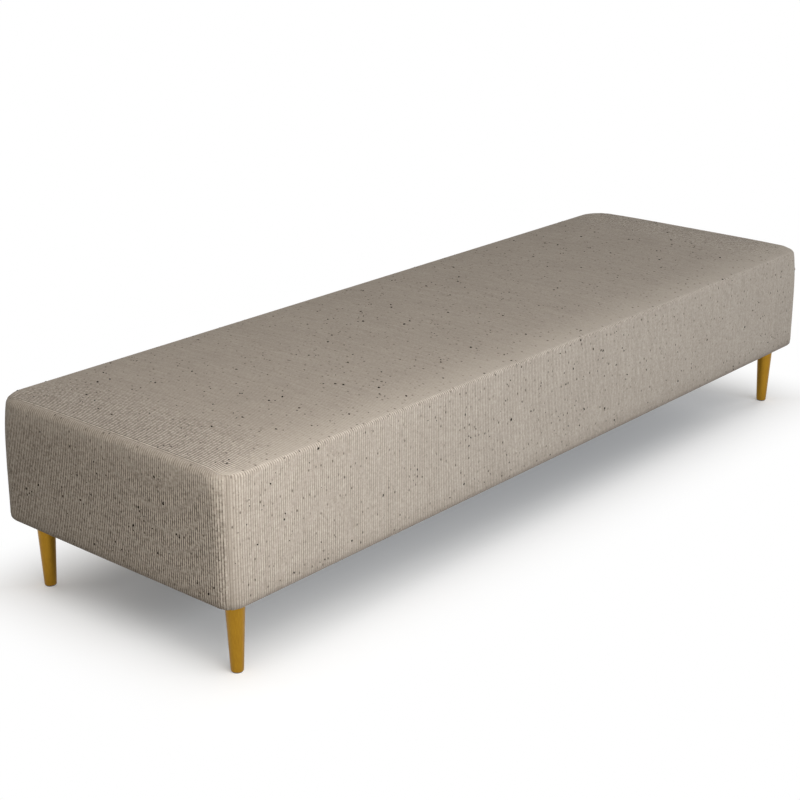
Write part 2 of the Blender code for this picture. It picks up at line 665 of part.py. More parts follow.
def make_tee_nut(name, place):
    """Flanged nut pressed into the top of the corner block."""
    top = TEE_NUT_BARREL_LENGTH + TEE_NUT_FLANGE_THICKNESS
    profile = [(STUD_HOLE_RADIUS, 0), (TEE_NUT_BARREL_RADIUS, 0),
               (TEE_NUT_BARREL_RADIUS, TEE_NUT_BARREL_LENGTH),
               (TEE_NUT_FLANGE_RADIUS, TEE_NUT_BARREL_LENGTH), (TEE_NUT_FLANGE_RADIUS, top),
               (STUD_HOLE_RADIUS, top)]
    low = BLOCK_TOP + FIT_GAP - TEE_NUT_BARREL_LENGTH
    finish(turned(f"tee_nut_{name}", profile, SMALL_ROUND_SEGMENTS, (*place, low)), STEEL, 0.4, 1.0)


def make_legs():
    for name, side_x, side_y in corners():
        place = (side_x * LEG_X, side_y * LEG_Y)
        make_leg(name, place)
        make_glide(name, place)
        make_stud(name, place)
        make_tee_nut(name, place)


def build():
    clear_scene()
    make_long_panels()
    make_end_panels()
    make_ribs()
    make_deck()
    make_corner_blocks()
    make_screws()
    make_foam()
    make_wadding()
    make_cover()
    make_dust_cover()
    make_legs()


build()
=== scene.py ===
import math
import bpy
import numpy as np
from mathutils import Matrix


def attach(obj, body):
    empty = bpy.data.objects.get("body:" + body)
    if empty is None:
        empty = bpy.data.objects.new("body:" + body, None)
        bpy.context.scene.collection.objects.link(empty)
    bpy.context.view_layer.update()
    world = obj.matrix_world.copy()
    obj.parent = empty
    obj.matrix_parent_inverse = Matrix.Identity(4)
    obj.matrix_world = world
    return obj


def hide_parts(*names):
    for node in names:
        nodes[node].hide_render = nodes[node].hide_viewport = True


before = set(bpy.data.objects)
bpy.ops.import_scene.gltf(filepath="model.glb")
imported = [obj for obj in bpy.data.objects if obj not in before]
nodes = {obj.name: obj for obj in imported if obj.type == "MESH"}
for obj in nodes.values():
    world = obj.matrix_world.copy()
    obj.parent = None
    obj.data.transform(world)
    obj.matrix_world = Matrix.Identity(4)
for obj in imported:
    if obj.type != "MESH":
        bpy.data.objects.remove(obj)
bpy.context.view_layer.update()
scene = bpy.context.scene
print("bench: frame loaded,", len(nodes), "CAD nodes")

# The form
form = {
    "halfLength": 1.000,      # metres, outside of the cover
    "halfWidth": 0.3175,
    "bottom": 0.150,
    "flatTop": 0.401,         # top without its crown
    "deckTop": 0.3316,
    "longEdge": 0.008,        # radius of the top edge along front and rear
    "endEdge": 0.014,         # and along the ends
    "leastEdge": 0.002,       # and of the layers inside, at least
    "bottomEdge": 0.010,
    "lowCorner": 0.036,       # radius of the upright corners, low and high
    "highCorner": 0.060,
    "cornerPower": 5.5,
    "taper": 0.001,
    "crown": 0.0060,          # before the padding swells
    "endCrown": 0.60,         # share of the crown that is left at the ends
    "crownPowers": (8, 4),    # how late it falls off along X and along Y
    "foldDepth": 0.030,       # cloth folded under the frame
}


# Radius of an upright corner: grows with a power of the height share.
def cornerRadius(height):
    rise = np.clip((height - form["bottom"]) / (form["flatTop"] - form["bottom"]), 0, 1)
    return form["lowCorner"] + (form["highCorner"] - form["lowCorner"]) * rise ** form["cornerPower"]


# The sides lean in by the taper from bottom to top.
def sideDraw(height):
    return form["taper"] * (height - form["bottom"]) / (form["flatTop"] - form["bottom"])


# Radius of the top edge and the part of its quarter arc that belongs to the side, for the way it faces:
# azimuth 0 is the end, 90 degrees the front. The end's seam lies on top of its arc, the long edge has none.
def topEdge(azimuth, inset=0.0):
    radius = form["endEdge"] * np.cos(azimuth) ** 2 + form["longEdge"] * np.sin(azimuth) ** 2
    share = 0.5 + 0.5 * np.where(azimuth < math.pi / 4, np.cos(2 * azimuth) ** 2, 0)
    return np.maximum(radius - inset, form["leastEdge"]), share


# Crown: a raised field, one less a power of the place, that dies out at the long edges and keeps a share of
# itself at the ends. It fades out down to the deck with the square of the height share.
def settled(points):
    x, y, z = abs(points[..., 0]), abs(points[..., 1]), points[..., 2]
    share = np.clip((z - form["deckTop"]) / (form["flatTop"] - form["deckTop"]), 0, 1) ** 2
    overX = np.minimum(x / (form["halfLength"] - form["taper"] - form["endEdge"]), 1)
    overY = np.minimum(y / (form["halfWidth"] - form["taper"] - form["longEdge"]), 1)
    powerX, powerY = form["crownPowers"]
    field = (1 - (1 - form["endCrown"]) * overX ** powerX) * (1 - overY ** powerY)
    points = points.copy()
    points[..., 2] += share * form["crown"] * field
    return points


# Upright profile of the sides over step 0 to 4: fold underneath, quarter arc, straight side, and the side's
# part of the top arc. Gives the inset from the square side, the height, and the square height for the corner.
def sideProfile(step, azimuth, inset=0.0):
    low, high = form["bottom"] + inset, form["flatTop"] - inset
    lowArc, (topArc, share) = form["bottomEdge"] - inset, topEdge(azimuth, inset)
    outerArc, outerLow = topEdge(azimuth)[0], form["bottom"] + form["bottomEdge"]
    fold, turn = np.clip(step, 0, 1), np.clip(step - 1, 0, 1) * math.pi / 2
    side, last = np.clip(step - 2, 0, 1), np.clip(step - 3, 0, 1)
    lean = last * share * math.pi / 2
    inward = (form["foldDepth"] - inset - lowArc) * (1 - fold) + lowArc * (1 - np.sin(turn))
    inward = np.where(step < 3, inward, topArc * (1 - np.cos(lean)))
    height = (low + lowArc * (1 - np.cos(turn)) + (high - topArc - low - lowArc) * side
              + topArc * np.sin(lean))
    square = (outerLow - form["bottomEdge"] * np.cos(turn) + (form["flatTop"] - outerArc - outerLow) * side
              + outerArc * np.tan(last * math.pi / 4))
    return inward, height, square


# Step on the straight side that lies at a height.
def stepAt(height, azimuth, inset=0.0):
    low = form["bottom"] + form["bottomEdge"]
    return 2 + (height - low) / (form["flatTop"] - inset - topEdge(azimuth, inset)[0] - low)


# Half length of a straight stretch and length of the corner band beside it, for a side at some height.
def sideLengths(half, square, inset=0.0):
    radius = cornerRadius(square) - inset
    return half - sideDraw(square) - inset - radius, radius * math.pi / 4


# Azimuth of a place along a side, from the middle of the side to 45 degrees in the corner.
def facingOf(place, facing):
    turn = np.clip(abs(place) - 1, 0, 1) * math.pi / 4
    return turn if facing == 1 else math.pi / 2 - turn


# Points of a side. place runs along the side: up to 1 it is straight, from 1 to 2 it turns 45 degrees round
# the corner. facing is 0 for the front and rear, whose long axis is X, and 1 for the ends.
def sidePoints(place, step, facing, sign, inset=0.0):
    place, step = np.broadcast_arrays(place, step)
    inward, height, square = sideProfile(step, facingOf(place, facing), inset)
    radius = cornerRadius(square) - inset
    halves = (form["halfLength"], form["halfWidth"])
    straight, _ = sideLengths(halves[facing], square, inset)
    deep, _ = sideLengths(halves[1 - facing], square, inset)
    turn = np.clip(abs(place) - 1, 0, 1) * math.pi / 4
    along = np.sign(place) * (np.minimum(abs(place), 1) * straight + (radius - inward) * np.sin(turn))
    across = sign * (deep + (radius - inward) * np.cos(turn))
    pair = (along, across) if facing == 0 else (across, along)
    return np.stack((*pair, height), axis=-1)


# In a corner the square of two bands, each from 1 to 2, goes onto a quarter disc: x * sqrt(1 - y * y / 2),
# and the same for y.
def cornerDisc(placeX, placeY):
    edgeX = math.sqrt(2) * np.sin(np.clip(abs(placeX) - 1, 0, 1) * math.pi / 4)
    edgeY = math.sqrt(2) * np.sin(np.clip(abs(placeY) - 1, 0, 1) * math.pi / 4)
    return edgeX * np.sqrt(1 - edgeY ** 2 / 2), edgeY * np.sqrt(1 - edgeX ** 2 / 2)


# Points of the top. placeX and placeY are straight up to 1 and cross the rounding from 1 to 2. The radius of
# the corner's disc runs along the flat and then round the top's part of the arc.
def topPoints(placeX, placeY, inset=0.0):
    placeX, placeY = np.broadcast_arrays(placeX, placeY)
    straightX, _ = sideLengths(form["halfLength"], form["flatTop"], inset)
    straightY, _ = sideLengths(form["halfWidth"], form["flatTop"], inset)
    partX, partY = cornerDisc(placeX, placeY)
    ring = np.hypot(partX, partY)
    azimuth = np.where(ring > 1e-9, np.arctan2(partY, partX), math.pi / 4)
    arc, share = topEdge(azimuth, inset)
    flat = form["highCorner"] - inset - arc
    whole = flat + arc * math.pi / 2 * (1 - share)
    run = 4 / math.pi * np.arcsin(np.clip(ring / math.sqrt(2), 0, 1)) * whole
    lean = np.clip((run - flat) / arc, 0, None)
    reach = np.where(lean > 0, flat + arc * np.sin(lean), run)
    ring = np.maximum(ring, 1e-9)
    x = np.sign(placeX) * (np.minimum(abs(placeX), 1) * straightX + reach * partX / ring)
    y = np.sign(placeY) * (np.minimum(abs(placeY), 1) * straightY + reach * partY / ring)
    return np.stack((x, y, form["flatTop"] - inset - arc * (1 - np.cos(lean))), axis=-1)


# Course of a row that lies across the top, where -2 to 2 runs from the front seam line to the rear one.
def courseOver(over):
    return np.interp(over, (-2, -1, 1, 2), (4, 5, 7, 8))


# The main panel's way over the bench: course 0 to 4 up the front, 4 to 8 over the top, 8 to 12 down the rear.
def mainPoints(place, course, inset=0.0):
    place, course = np.broadcast_arrays(place, course)
    front = sidePoints(place, np.clip(course, 0, 4), 0, -1, inset)
    rear = sidePoints(place, np.clip(12 - course, 0, 4), 0, 1, inset)
    top = topPoints(place, np.interp(course, (4, 5, 7, 8), (-2, -1, 1, 2)), inset)
    return np.where(course[..., None] <= 4, front, np.where(course[..., None] < 8, top, rear))


def ease(value):  # 3 v^2 - 2 v^3 between 0 and 1
    value = np.clip(value, 0, 1)
    return value * value * (3 - 2 * value)


def bell(distance, width):  # a Gauss curve, 1 in the middle and e to the -1 at the width
    return np.exp(-(distance / width) ** 2)


# Outward unit normals of a grid of points: cross product of its two gradients.
def gridNormals(points):
    normal = np.cross(np.gradient(points, axis=1), np.gradient(points, axis=0))
    return normal / np.maximum(np.linalg.norm(normal, axis=-1, keepdims=True), 1e-12)


# Mesh helpers
# Four corners of every cell of a grid, as rows of vertex numbers, turned round with flip.
def gridFaces(rows, columns, start=0, wrap=False, flip=False):
    number = start + np.arange(rows * columns).reshape(rows, columns)
    if wrap:
        number = np.concatenate((number, number[:, :1]), axis=1)
    faces = (number[:-1, :-1], number[:-1, 1:], number[1:, 1:], number[1:, :-1])
    return np.stack(faces[::-1] if flip else faces, -1).reshape(-1, 4)


# All points of several grids in one list, and the faces of those that a flip is given for.
def joinGrids(grids, flips):
    faces, start = [], 0
    for grid, flip in zip(grids, flips):
        faces.append(gridFaces(*grid.shape[:2], start, flip=flip))
        start += grid.shape[0] * grid.shape[1]
    return np.concatenate([grid.reshape(-1, 3) for grid in grids]), np.concatenate(faces)


# Mesh from points and faces. uv is the cloth's own map in metres; the cloth's painted shade and light, three
# values for each point, go in as an attribute.
def makeMesh(name, points, faces, finish, uv=None, smooth=True, wearAndPaintedShading=None):
    mesh = bpy.data.meshes.new(name)
    points, faces = np.asarray(points, float).reshape(-1, 3), np.asarray(faces)
    count, sides = faces.shape
    mesh.vertices.add(len(points))
    mesh.vertices.foreach_set("co", points.ravel())
    mesh.loops.add(count * sides)
    mesh.loops.foreach_set("vertex_index", faces.ravel().astype(np.int32))
    mesh.polygons.add(count)
    mesh.polygons.foreach_set("loop_start", np.arange(count, dtype=np.int32) * sides)
    mesh.update(calc_edges=True)
    if uv is not None:
        layer = mesh.uv_layers.new(name="cloth")
        layer.data.foreach_set("uv", np.asarray(uv, float).reshape(-1, 2)[faces.ravel()].ravel())
    # Painted shade and light of the cloth, kept as a point attribute
    if wearAndPaintedShading is not None:
        mesh.attributes.new("paintedShading", "FLOAT_VECTOR", "POINT").data.foreach_set("vector", wearAndPaintedShading.ravel())
    mesh.polygons.foreach_set("use_smooth", np.full(count, smooth))
    mesh.validate()
    mesh.materials.append(finish)
    item = bpy.data.objects.new(name, mesh)
    scene.collection.objects.link(item)
    return item


def addWall(piece, thickness):  # gives a shell its thickness, to the inside of its faces
    wall = piece.modifiers.new("Wall", "SOLIDIFY")
    wall.thickness, wall.offset = thickness, -1
    return piece


# Node helpers
# A node group with its sockets, and what its two end nodes give and take.
def newTree(name, inputs, outputs):
    group = bpy.data.node_groups.new(name, "ShaderNodeTree")
    for label, kind, value in inputs:
        socket = group.interface.new_socket(label, in_out="INPUT", socket_type="NodeSocket" + kind)
        socket.default_value = value
    for label, kind in outputs:
        group.interface.new_socket(label, in_out="OUTPUT", socket_type="NodeSocket" + kind)
    return group, group.nodes.new("NodeGroupInput").outputs, group.nodes.new("NodeGroupOutput").inputs


def feed(tree, socket, value):  # a link where the value is a socket, otherwise the value itself
    if isinstance(value, bpy.types.NodeSocket):
        tree.links.new(value, socket)
    else:
        socket.default_value = value


# Adds a node, sets its options, and fills its inputs with values or links.
def put(tree, kind, inputs=None, **options):
    made = tree.nodes.new("ShaderNode" + kind)
    for key, value in options.items():
        setattr(made, key, value)
    for key, value in (inputs or {}).items():
        feed(tree, made.inputs[key], value)
    return made


# These add a node to the tree that their first socket belongs to, and give its output.
def calc(operation, first, second=0.0):
    return put(first.id_data, "Math", {0: first, 1: second}, operation=operation).outputs[0]


def chain(operation, values):  # the operation carried on from value to value
    result = values[0]
    for value in values[1:]:
        result = calc(operation, result, value)
    return result


def times(*values):
    return chain("MULTIPLY", values)


def plus(*values):
    return chain("ADD", values)


def most(*values):
    return chain("MAXIMUM", values)


def split(vector):  # X, Y and Z
    return put(vector.id_data, "SeparateXYZ", {0: vector}).outputs


def join(*values):
    return put(values[0].id_data, "CombineXYZ", dict(enumerate(values))).outputs[0]


def noise(place, scale, detail, rough=0.5, distortion=0.0, flat=False):
    inputs = {"Vector": place, "Scale": scale, "Detail": detail, "Roughness": rough, "Distortion": distortion}
    return put(place.id_data, "TexNoise", inputs, noise_dimensions="2D" if flat else "3D").outputs[0]


def cells(place, scale, flat=False):
    return put(place.id_data, "TexVoronoi", {"Vector": place, "Scale": scale},
               voronoi_dimensions="2D" if flat else "3D").outputs


# Mix of two colours. A Mix node lists its float sockets first, so colours go in by their places.
def blend(factor, first, second):
    made = factor.id_data.nodes.new("ShaderNodeMix")
    made.data_type = "RGBA"
    for place, value in ((0, factor), (6, first), (7, second)):
        feed(factor.id_data, made.inputs[place], value)
    return made.outputs[2]


# Low to high becomes first to last, and is held beyond.
def ramp(value, low, high, first=0.0, last=1.0, way="LINEAR"):
    inputs = {"Value": value, "From Min": low, "From Max": high, "To Min": first, "To Max": last}
    return put(value.id_data, "MapRange", inputs, interpolation_type=way).outputs[0]


def objectPlace(tree):
    return put(tree, "TexCoord").outputs["Object"]


# A material by its roughness, metallic and other inputs of the shader.
def surface(name, roughness=0.6, metallic=0.0, **values):
    made = bpy.data.materials.new(name)
    made.use_nodes = True
    inputs = made.node_tree.nodes["Principled BSDF"].inputs
    for key, value in {"Roughness": roughness, "Metallic": metallic, **values}.items():
        inputs[key.replace("_", " ")].default_value = value
    return made, made.node_tree


# Links a material's colour to its shader, a height as a bump so many metres deep, and a roughness.
def dress(made, colour, height=None, depth=0.0, rough=None):
    tree = made.node_tree
    inputs = tree.nodes["Principled BSDF"].inputs
    tree.links.new(colour, inputs["Base Color"])
    if height is not None:
        bump = put(tree, "Bump", {"Height": height, "Distance": depth, "Strength": 1.0})
        tree.links.new(bump.outputs[0], inputs["Normal"])
    if rough is not None:
        tree.links.new(rough, inputs["Roughness"])
    return made


cloth = {
    "pitch": 0.005214,        # metres from rib to rib
    "ribs": 380, "endRibs": 118,
    "perRib": 5,              # grid columns in one rib
    "ribHeight": 0.00072,
    "ribPower": 0.6,          # roundness of a rib, its level, and how its height varies
    "ribLevel": 0.75,
    "ribSpread": 0.16,
    "seamDepth": 0.0006,      # how deep a seam sinks, and how wide
    "seamWidth": 0.0012,
    "seamSwell": 0.0005,      # soft shoulder beside it, over the seam allowance
    "swellAt": 0.006, "swellWidth": 0.004,
    "easing": 0.12,           # last stretch of cloth that eases in or out, on the main panel and on the ends
    "endEasing": 0.09,
    "ribsBySeam": ((0.5, 0.012), (0.3, 0.003)),   # share of height that ribs lose, and over which distance
    "ribsByFold": (0.45, 0.010),
    "furrowSide": 0.33,       # painted shade in the furrows on the long sides, on the seat, and at the seat's ends
    "furrowSeat": 0.16,
    "furrowSeatEnd": 3.40,
    "furrowReach": 0.100,     # metres over which the seat's furrows fade
    "furrowEnd": 1.10,        # on the end panels, and added as painted shade in the folds of the front and rear top edge
    "furrowFold": 0.35,
    "foldWidth": 0.004,
    "foldReach": 0.05,        # metres behind a fold over which the seat's ends darken with painted shade
    "bySeatSeam": (0.7, 0.004),   # share of painted shade that furrows lose by a seam, and over which distance
    "byUprightSeam": (0.95, 0.010),
    "byEndSeam": (0.75, 0.007),
    "endWeaker": ((0.3, 2.5, 0.5), (0.35, 3, 0.6)),   # painted shade weakens up the ends, painting them lighter above: how much, from which step, over how many
    "shadeBreakup": 0.7,            # how broken the painted furrow shade is on the main panel, and how much less at its ends
    "shadeBreakupSeatEnd": 0.46,
    "bottomShadeTo": 2.14,         # step of the side up to which the bottom edge is darkened with painted shade, fading over the next
    "bottomShadeOver": 0.3,
    "seatHighlight": 0.40,         # painted light: how much paler the seat is along its front fold, and over which distance
    "seatHighlightReach": 0.070,
    "endHighlight": 0.20,          # the same painted light below the upper seam of the ends
    "endHighlightAt": 0.022,
    "grey": (0.345, 0.300, 0.252, 1),
    # colour of the painted shade in the furrows
    "paintedShading": (0.060, 0.045, 0.032, 1),
    # the dark and the light yarn colours also serve for the painted shade on the bottom edge and the painted
    # light
    "darkYarnAndShade": (0.165, 0.134, 0.104, 1),
    "lightYarnAndHighlight": (0.560, 0.500, 0.430, 1),
    "fleck": (0.060, 0.042, 0.030, 1),
    "nub": (0.012, 0.009, 0.007, 1),
}
weave = {                     # how dense the marks are across and along the ribs, and the detail of noise
    "ribTone": (3.71, 6.0, 0.0),
    "broken": (7.31, 135.0, 1.0),
    "dash": (5.93, 190.0, 1.0),
    "pale": (8.77, 120.0, 1.0),
    "yarn": (820, 430, 2.0),
    "streak": (130, 26, 2.0),
    "slub": (190, 34, 0.0),
    "cloud": (9, 9, 2.0),
    "speck": (66, 42),
    "grain": (230, 150),
}


# Ribbed tweed. U runs across the ribs and V along them, both in metres. The furrow between two ribs is a dark
# line of painted shade, every second one weaker. The mesh says how dark it is, how much it is broken into
# dashes, and how much painted shade lies on the cloth where its last value is above 0 and painted light where
# it is below 0. Each rib has its own tone, its crest a painted highlight and its sides painted shade; the
# yarn gives a fine grain with pale dashes that keep to the crests, partly painted highlight, and flecks are
# small brown specks in random cells.
def makeClothSurface():
    made, tree = surface("ribbedTweed", 0.95, Sheen_Weight=0.10, Sheen_Roughness=0.5, Specular_IOR_Level=0.15)
    across, along, _ = split(put(tree, "UVMap", uv_map="cloth").outputs[0])
    # The mesh's values: painted shade in the furrows, how broken it is, and painted shade less painted light
    depth, shadeBreakup, paintedShadeAndLight = split(put(tree, "Attribute", attribute_name="paintedShading").outputs["Vector"])
    count = times(across, 1 / cloth["pitch"])
    rib, line = calc("FLOOR", count), calc("ROUND", count)
    crest = calc("SINE", times(calc("FRACT", count), math.pi))

    def markPlace(name, source):
        return join(times(source, weave[name][0]), times(along, weave[name][1]))

    def field(name, source=across, rough=0.5):
        return noise(markPlace(name, source), 1.0, weave[name][2], rough, flat=True)

    def specks(name, size, share):
        found = cells(markPlace(name, across), 1.0, flat=True)
        chance, strength, _ = put(tree, "SeparateColor", {0: found["Color"]}).outputs
        dot = ramp(found["Distance"], size * 0.5, size, 1.0, 0.0)
        return times(calc("LESS_THAN", chance, share), times(dot, ramp(strength, 0, 1, 0.25, 1)))

    def sway(value, low, high, share):
        return ramp(value, low, high, -share, share)

    # Painted shade: a dark line in each furrow, every second one weaker, broken into dashes, as dark as the
    # mesh says
    gap = ramp(calc("ABSOLUTE", calc("SUBTRACT", count, line)), 0.03, 0.17, 1.0, 0.0)
    second = ramp(calc("PINGPONG", line, 1.0), 0, 1, 0.75, 1.15)
    broken = plus(times(ramp(field("broken", line), 0.42, 0.58, -0.90, 0.35), shadeBreakup), 1.0)
    gap = times(times(gap, second), times(broken, depth))
    dash, yarn = field("dash", rib), field("yarn", rough=0.6)
    slub, coarse = ramp(field("slub"), 0.66, 0.80), times(depth, shadeBreakup)
    # Pale yarn dashes kept to the crests, partly painted highlight, and ridges: a painted highlight on each
    # crest and painted shade beside it, both stronger where the furrows are painted darker
    pale = times(ramp(field("pale", rib), 0.42, 0.60), ramp(crest, 0.5, 0.9), coarse, 0.80)
    dashes = times(sway(dash, 0.25, 0.75, 1), plus(times(coarse, 0.27), 0.05))
    ridges = times(ramp(crest, 0.35, 0.95, -0.9, 1.1), plus(times(coarse, 0.32), 0.06))
    tone = plus(sway(field("ribTone", rib), 0.25, 0.75, 0.05), sway(yarn, 0.3, 0.7, 0.09), dashes,
                sway(field("streak"), 0.3, 0.7, 0.05), sway(field("cloud"), 0.3, 0.7, 0.03),
                times(slub, 0.06), pale, ridges)
    # Layers: yarn tone, painted shade in the furrows, painted shade on the bottom edge, painted light where
    # the mesh's last value is below 0, and flecks
    layers = ((ramp(tone, -0.75, 0.0, 1.0, 0.0), "darkYarnAndShade"), (ramp(tone, 0.0, 0.9), "lightYarnAndHighlight"),
              (ramp(gap, 0, 1), "paintedShading"), (times(paintedShadeAndLight, 0.55), "darkYarnAndShade"),
              (times(paintedShadeAndLight, -1.0), "lightYarnAndHighlight"), (times(specks("speck", 0.135, 0.42), 0.90), "fleck"),
              (times(specks("grain", 0.27, 0.06), 0.45), "fleck"))
    colour = cloth["grey"]
    for share, finish in layers:
        colour = blend(share, colour, cloth[finish])
    height = plus(times(crest, 0.35), times(yarn, 0.35), times(dash, 0.25), times(slub, 0.25))
    return dress(made, colour, height, 0.00045, ramp(yarn, 0.2, 0.8, 0.86, 1.0))


# Unevenness of the yarn: random numbers smoothed down the rows by a Hann window, scaled to a spread of 1.
def streaks(rows, columns, width, seed):
    values = np.random.default_rng(seed).standard_normal((rows, columns))
    kernel = np.hanning(width + 2)[1:-1]
    values = np.apply_along_axis(lambda line: np.convolve(line, kernel / kernel.sum(), "same"), 0, values)
    return values / values.std()


# Swelling of the stuffed cover. A coarse closed shell of the three panels is a Cloth with inner pressure,
# held fast under the frame and more softly along the seams. Its displacement is kept as grids.
padding = {
    "pressure": 4.0,
    "frames": 20,
    "stiffness": 30.0,
    "mass": 0.25, "quality": 6,
    "seamHold": 0.75,         # how firmly seams and folds stay where they are
    "cap": 0.0030,            # metres, the most that a point moves
    "columns": 74,            # grid cells over the straight part of the length, of the width and of the sides
    "across": 22,
    "rows": 9,
}


def bandedAxis(inner):  # straight part with even steps, and bands with four steps each
    band = np.linspace(1, 2, 5)[1:]
    return np.concatenate((-band[::-1], np.linspace(-1, 1, inner + 1), band))


coarsePlace, coarseOver = bandedAxis(padding["columns"]), bandedAxis(padding["across"])
coarseStep = np.concatenate((np.linspace(0, 2, 4)[:-1], np.linspace(2, 3, padding["rows"] + 1)[:-1],
                             np.linspace(3, 4, 4)))
coarseCourse = np.concatenate((coarseStep, courseOver(coarseOver[1:-1]), 12 - coarseStep[::-1]))


# Joins points that lie in the same tenth of a millimetre, with a shift that keeps the form off the borders.
def welded(points):
    _, first, back = np.unique(np.floor(points * 1e4 + 0.337), axis=0, return_index=True, return_inverse=True)
    return first, back.ravel()


# The three coarse grids, main panel and both ends, and one welded set of points and faces made from them.
def coarseShell(inset):
    grids = [mainPoints(coarsePlace[None], coarseCourse[:, None], inset)]
    grids += [sidePoints(coarseOver[None], coarseStep[:, None], 1, sign, inset) for sign in (-1, 1)]
    points, faces = joinGrids(grids, (False, True, False))
    first, back = welded(points)
    return grids, points[first], back[faces], back


# How firmly each welded point is held: wholly under the frame, in part along seams and folds. Where points of
# several grids meet, the firmest counts.
def holdOf(grids, back):
    rows, columns = grids[0].shape[:2]
    endSeam = (abs(coarseOver)[None] > 1.99) | (coarseStep[:, None] > 3.99)
    soft = np.concatenate((np.tile(abs(coarsePlace) > 1.99, rows), endSeam.ravel(), endSeam.ravel()))
    soft[:rows * columns] |= np.repeat(abs(abs(coarseCourse - 6) - 2) < 0.01, columns)
    height = np.concatenate([grid[..., 2].ravel() for grid in grids])
    under = height < form["bottom"] + form["bottomEdge"]
    hold = np.zeros(back.max() + 1)
    np.maximum.at(hold, back, np.where(under, 1.0, np.where(soft, padding["seamHold"], 0.0)))
    return hold


# The swelling as three grids: each point's way in the simulation, times the cap over the longest way.
def swell():
    grids, points, faces, back = coarseShell(0.0)
    item = makeMesh("stuffing", settled(points), faces, bpy.data.materials.new("blank"))
    hold, held = holdOf(grids, back), item.vertex_groups.new(name="held")
    for weight in np.unique(hold):
        held.add(np.flatnonzero(hold == weight).tolist(), float(weight), "REPLACE")
    settings = item.modifiers.new("Cloth", "CLOTH").settings
    settings.use_pressure, settings.uniform_pressure_force = True, padding["pressure"]
    settings.tension_stiffness = settings.compression_stiffness = padding["stiffness"]
    settings.shear_stiffness = padding["stiffness"] / 2
    settings.quality, settings.mass = padding["quality"], padding["mass"]
    settings.vertex_group_mass = "held"
    settings.effector_weights.gravity = 0
    for moment in range(1, padding["frames"] + 1):
        scene.frame_set(moment)
    result = item.evaluated_get(bpy.context.evaluated_depsgraph_get()).to_mesh()
    moved = np.empty(len(points) * 3)
    result.vertices.foreach_get("co", moved)
    moved = moved.reshape(-1, 3) - settled(points)
    bpy.data.objects.remove(item, do_unlink=True)
    scene.frame_set(1)
    longest = np.linalg.norm(moved, axis=1).max()
    moved *= padding["cap"] / longest
    print("cloth: swelling of", round(longest * 1000, 1), "mm, capped to", padding["cap"] * 1000, "mm")
    parts = np.split(moved[back], np.cumsum([grid[..., 0].size for grid in grids])[:-1])
    return [part.reshape(grid.shape) for part, grid in zip(parts, grids)]


# Cubic reading of a coarse grid at any places: four weights along each axis (Catmull-Rom).
def readGrid(values, axisDown, axisAcross, down, across):
    down, across = np.broadcast_arrays(down, across)
    rows = np.interp(down, axisDown, range(len(axisDown)))
    columns = np.interp(across, axisAcross, range(len(axisAcross)))
    baseRow, baseColumn = np.floor(rows).astype(int), np.floor(columns).astype(int)
    total = 0

    def weights(part):
        return (-part / 2 + part ** 2 - part ** 3 / 2, 1 - 2.5 * part ** 2 + 1.5 * part ** 3,
                part / 2 + 2 * part ** 2 - 1.5 * part ** 3, -part ** 2 / 2 + part ** 3 / 2)

    for stepDown, weightDown in enumerate(weights(rows - baseRow), -1):
        for stepAcross, weightAcross in enumerate(weights(columns - baseColumn), -1):
            picked = values[np.clip(baseRow + stepDown, 0, len(axisDown) - 1),
                            np.clip(baseColumn + stepAcross, 0, len(axisAcross) - 1)]
            total = total + (weightDown * weightAcross)[..., None] * picked
    return total


print("cover: settling the stuffed shell")
swelling = swell()


# Grid columns of a panel, measured in metres of cloth from its middle, and half of its width.
def clothColumns(ribs):
    half = ribs * cloth["perRib"] / 2
    return np.arange(-half, half + 1) * cloth["pitch"] / cloth["perRib"], ribs * cloth["pitch"] / 2


# Place along a side for cloth measured from its middle. The straight length and the band at the corner differ
# a little from row to row, so the last stretch of cloth eases in or out to end on the seam.
def clothPlace(cloths, straight, band, reference, easing):
    extra = straight + band - reference
    length = abs(cloths) + extra * ease((abs(cloths) - reference + easing) / easing)
    share = np.where(length <= straight, length / straight, 1 + (length - straight) / band)
    return np.sign(cloths) * np.minimum(share, 2)


def lessBy(distance, name):  # 1 less a bell curve, by a share and a width of the cloth
    share, width = cloth[name]
    return 1 - share * bell(distance, width)


# Offset along the normal: ribs follow a power of a sine, with their own height and slow thick and thin
# stretches, flatter by seams and folds, and every seam is a groove (a bell curve) with a low shoulder.
def ribbing(cloths, rows, seamDistance, seed, foldDistance=1.0):
    count = cloths / cloth["pitch"]
    ribs = np.floor(count + 1e-6).astype(int)
    rounded = abs(np.sin(math.pi * (count - ribs))) ** cloth["ribPower"] - cloth["ribLevel"]
    ribs -= ribs.min()
    thick = 1 + cloth["ribSpread"] * streaks(rows, ribs.max() + 1, 5, seed)[:, ribs]
    fade = 1
    for share, width in cloth["ribsBySeam"]:
        fade = fade - share * bell(seamDistance, width)
    fade = fade * lessBy(foldDistance, "ribsByFold")
    groove = cloth["seamDepth"] * bell(seamDistance, cloth["seamWidth"])
    shoulder = cloth["seamSwell"] * bell(seamDistance - cloth["swellAt"], cloth["swellWidth"])
    return cloth["ribHeight"] * rounded[None] * thick * fade - groove + shoulder


def pathLength(points):  # running length down the middle column of a grid
    middle = points[:, points.shape[1] // 2]
    return np.concatenate(([0], np.cumsum(np.linalg.norm(np.diff(middle, axis=0), axis=1))))


# Painted shade along the bottom edge of the cloth
def bottomShadeShare(step):  # 1 on the bottom edge, 0 from just above it
    return np.clip((cloth["bottomShadeTo"] - step) / cloth["bottomShadeOver"], 0, 1)


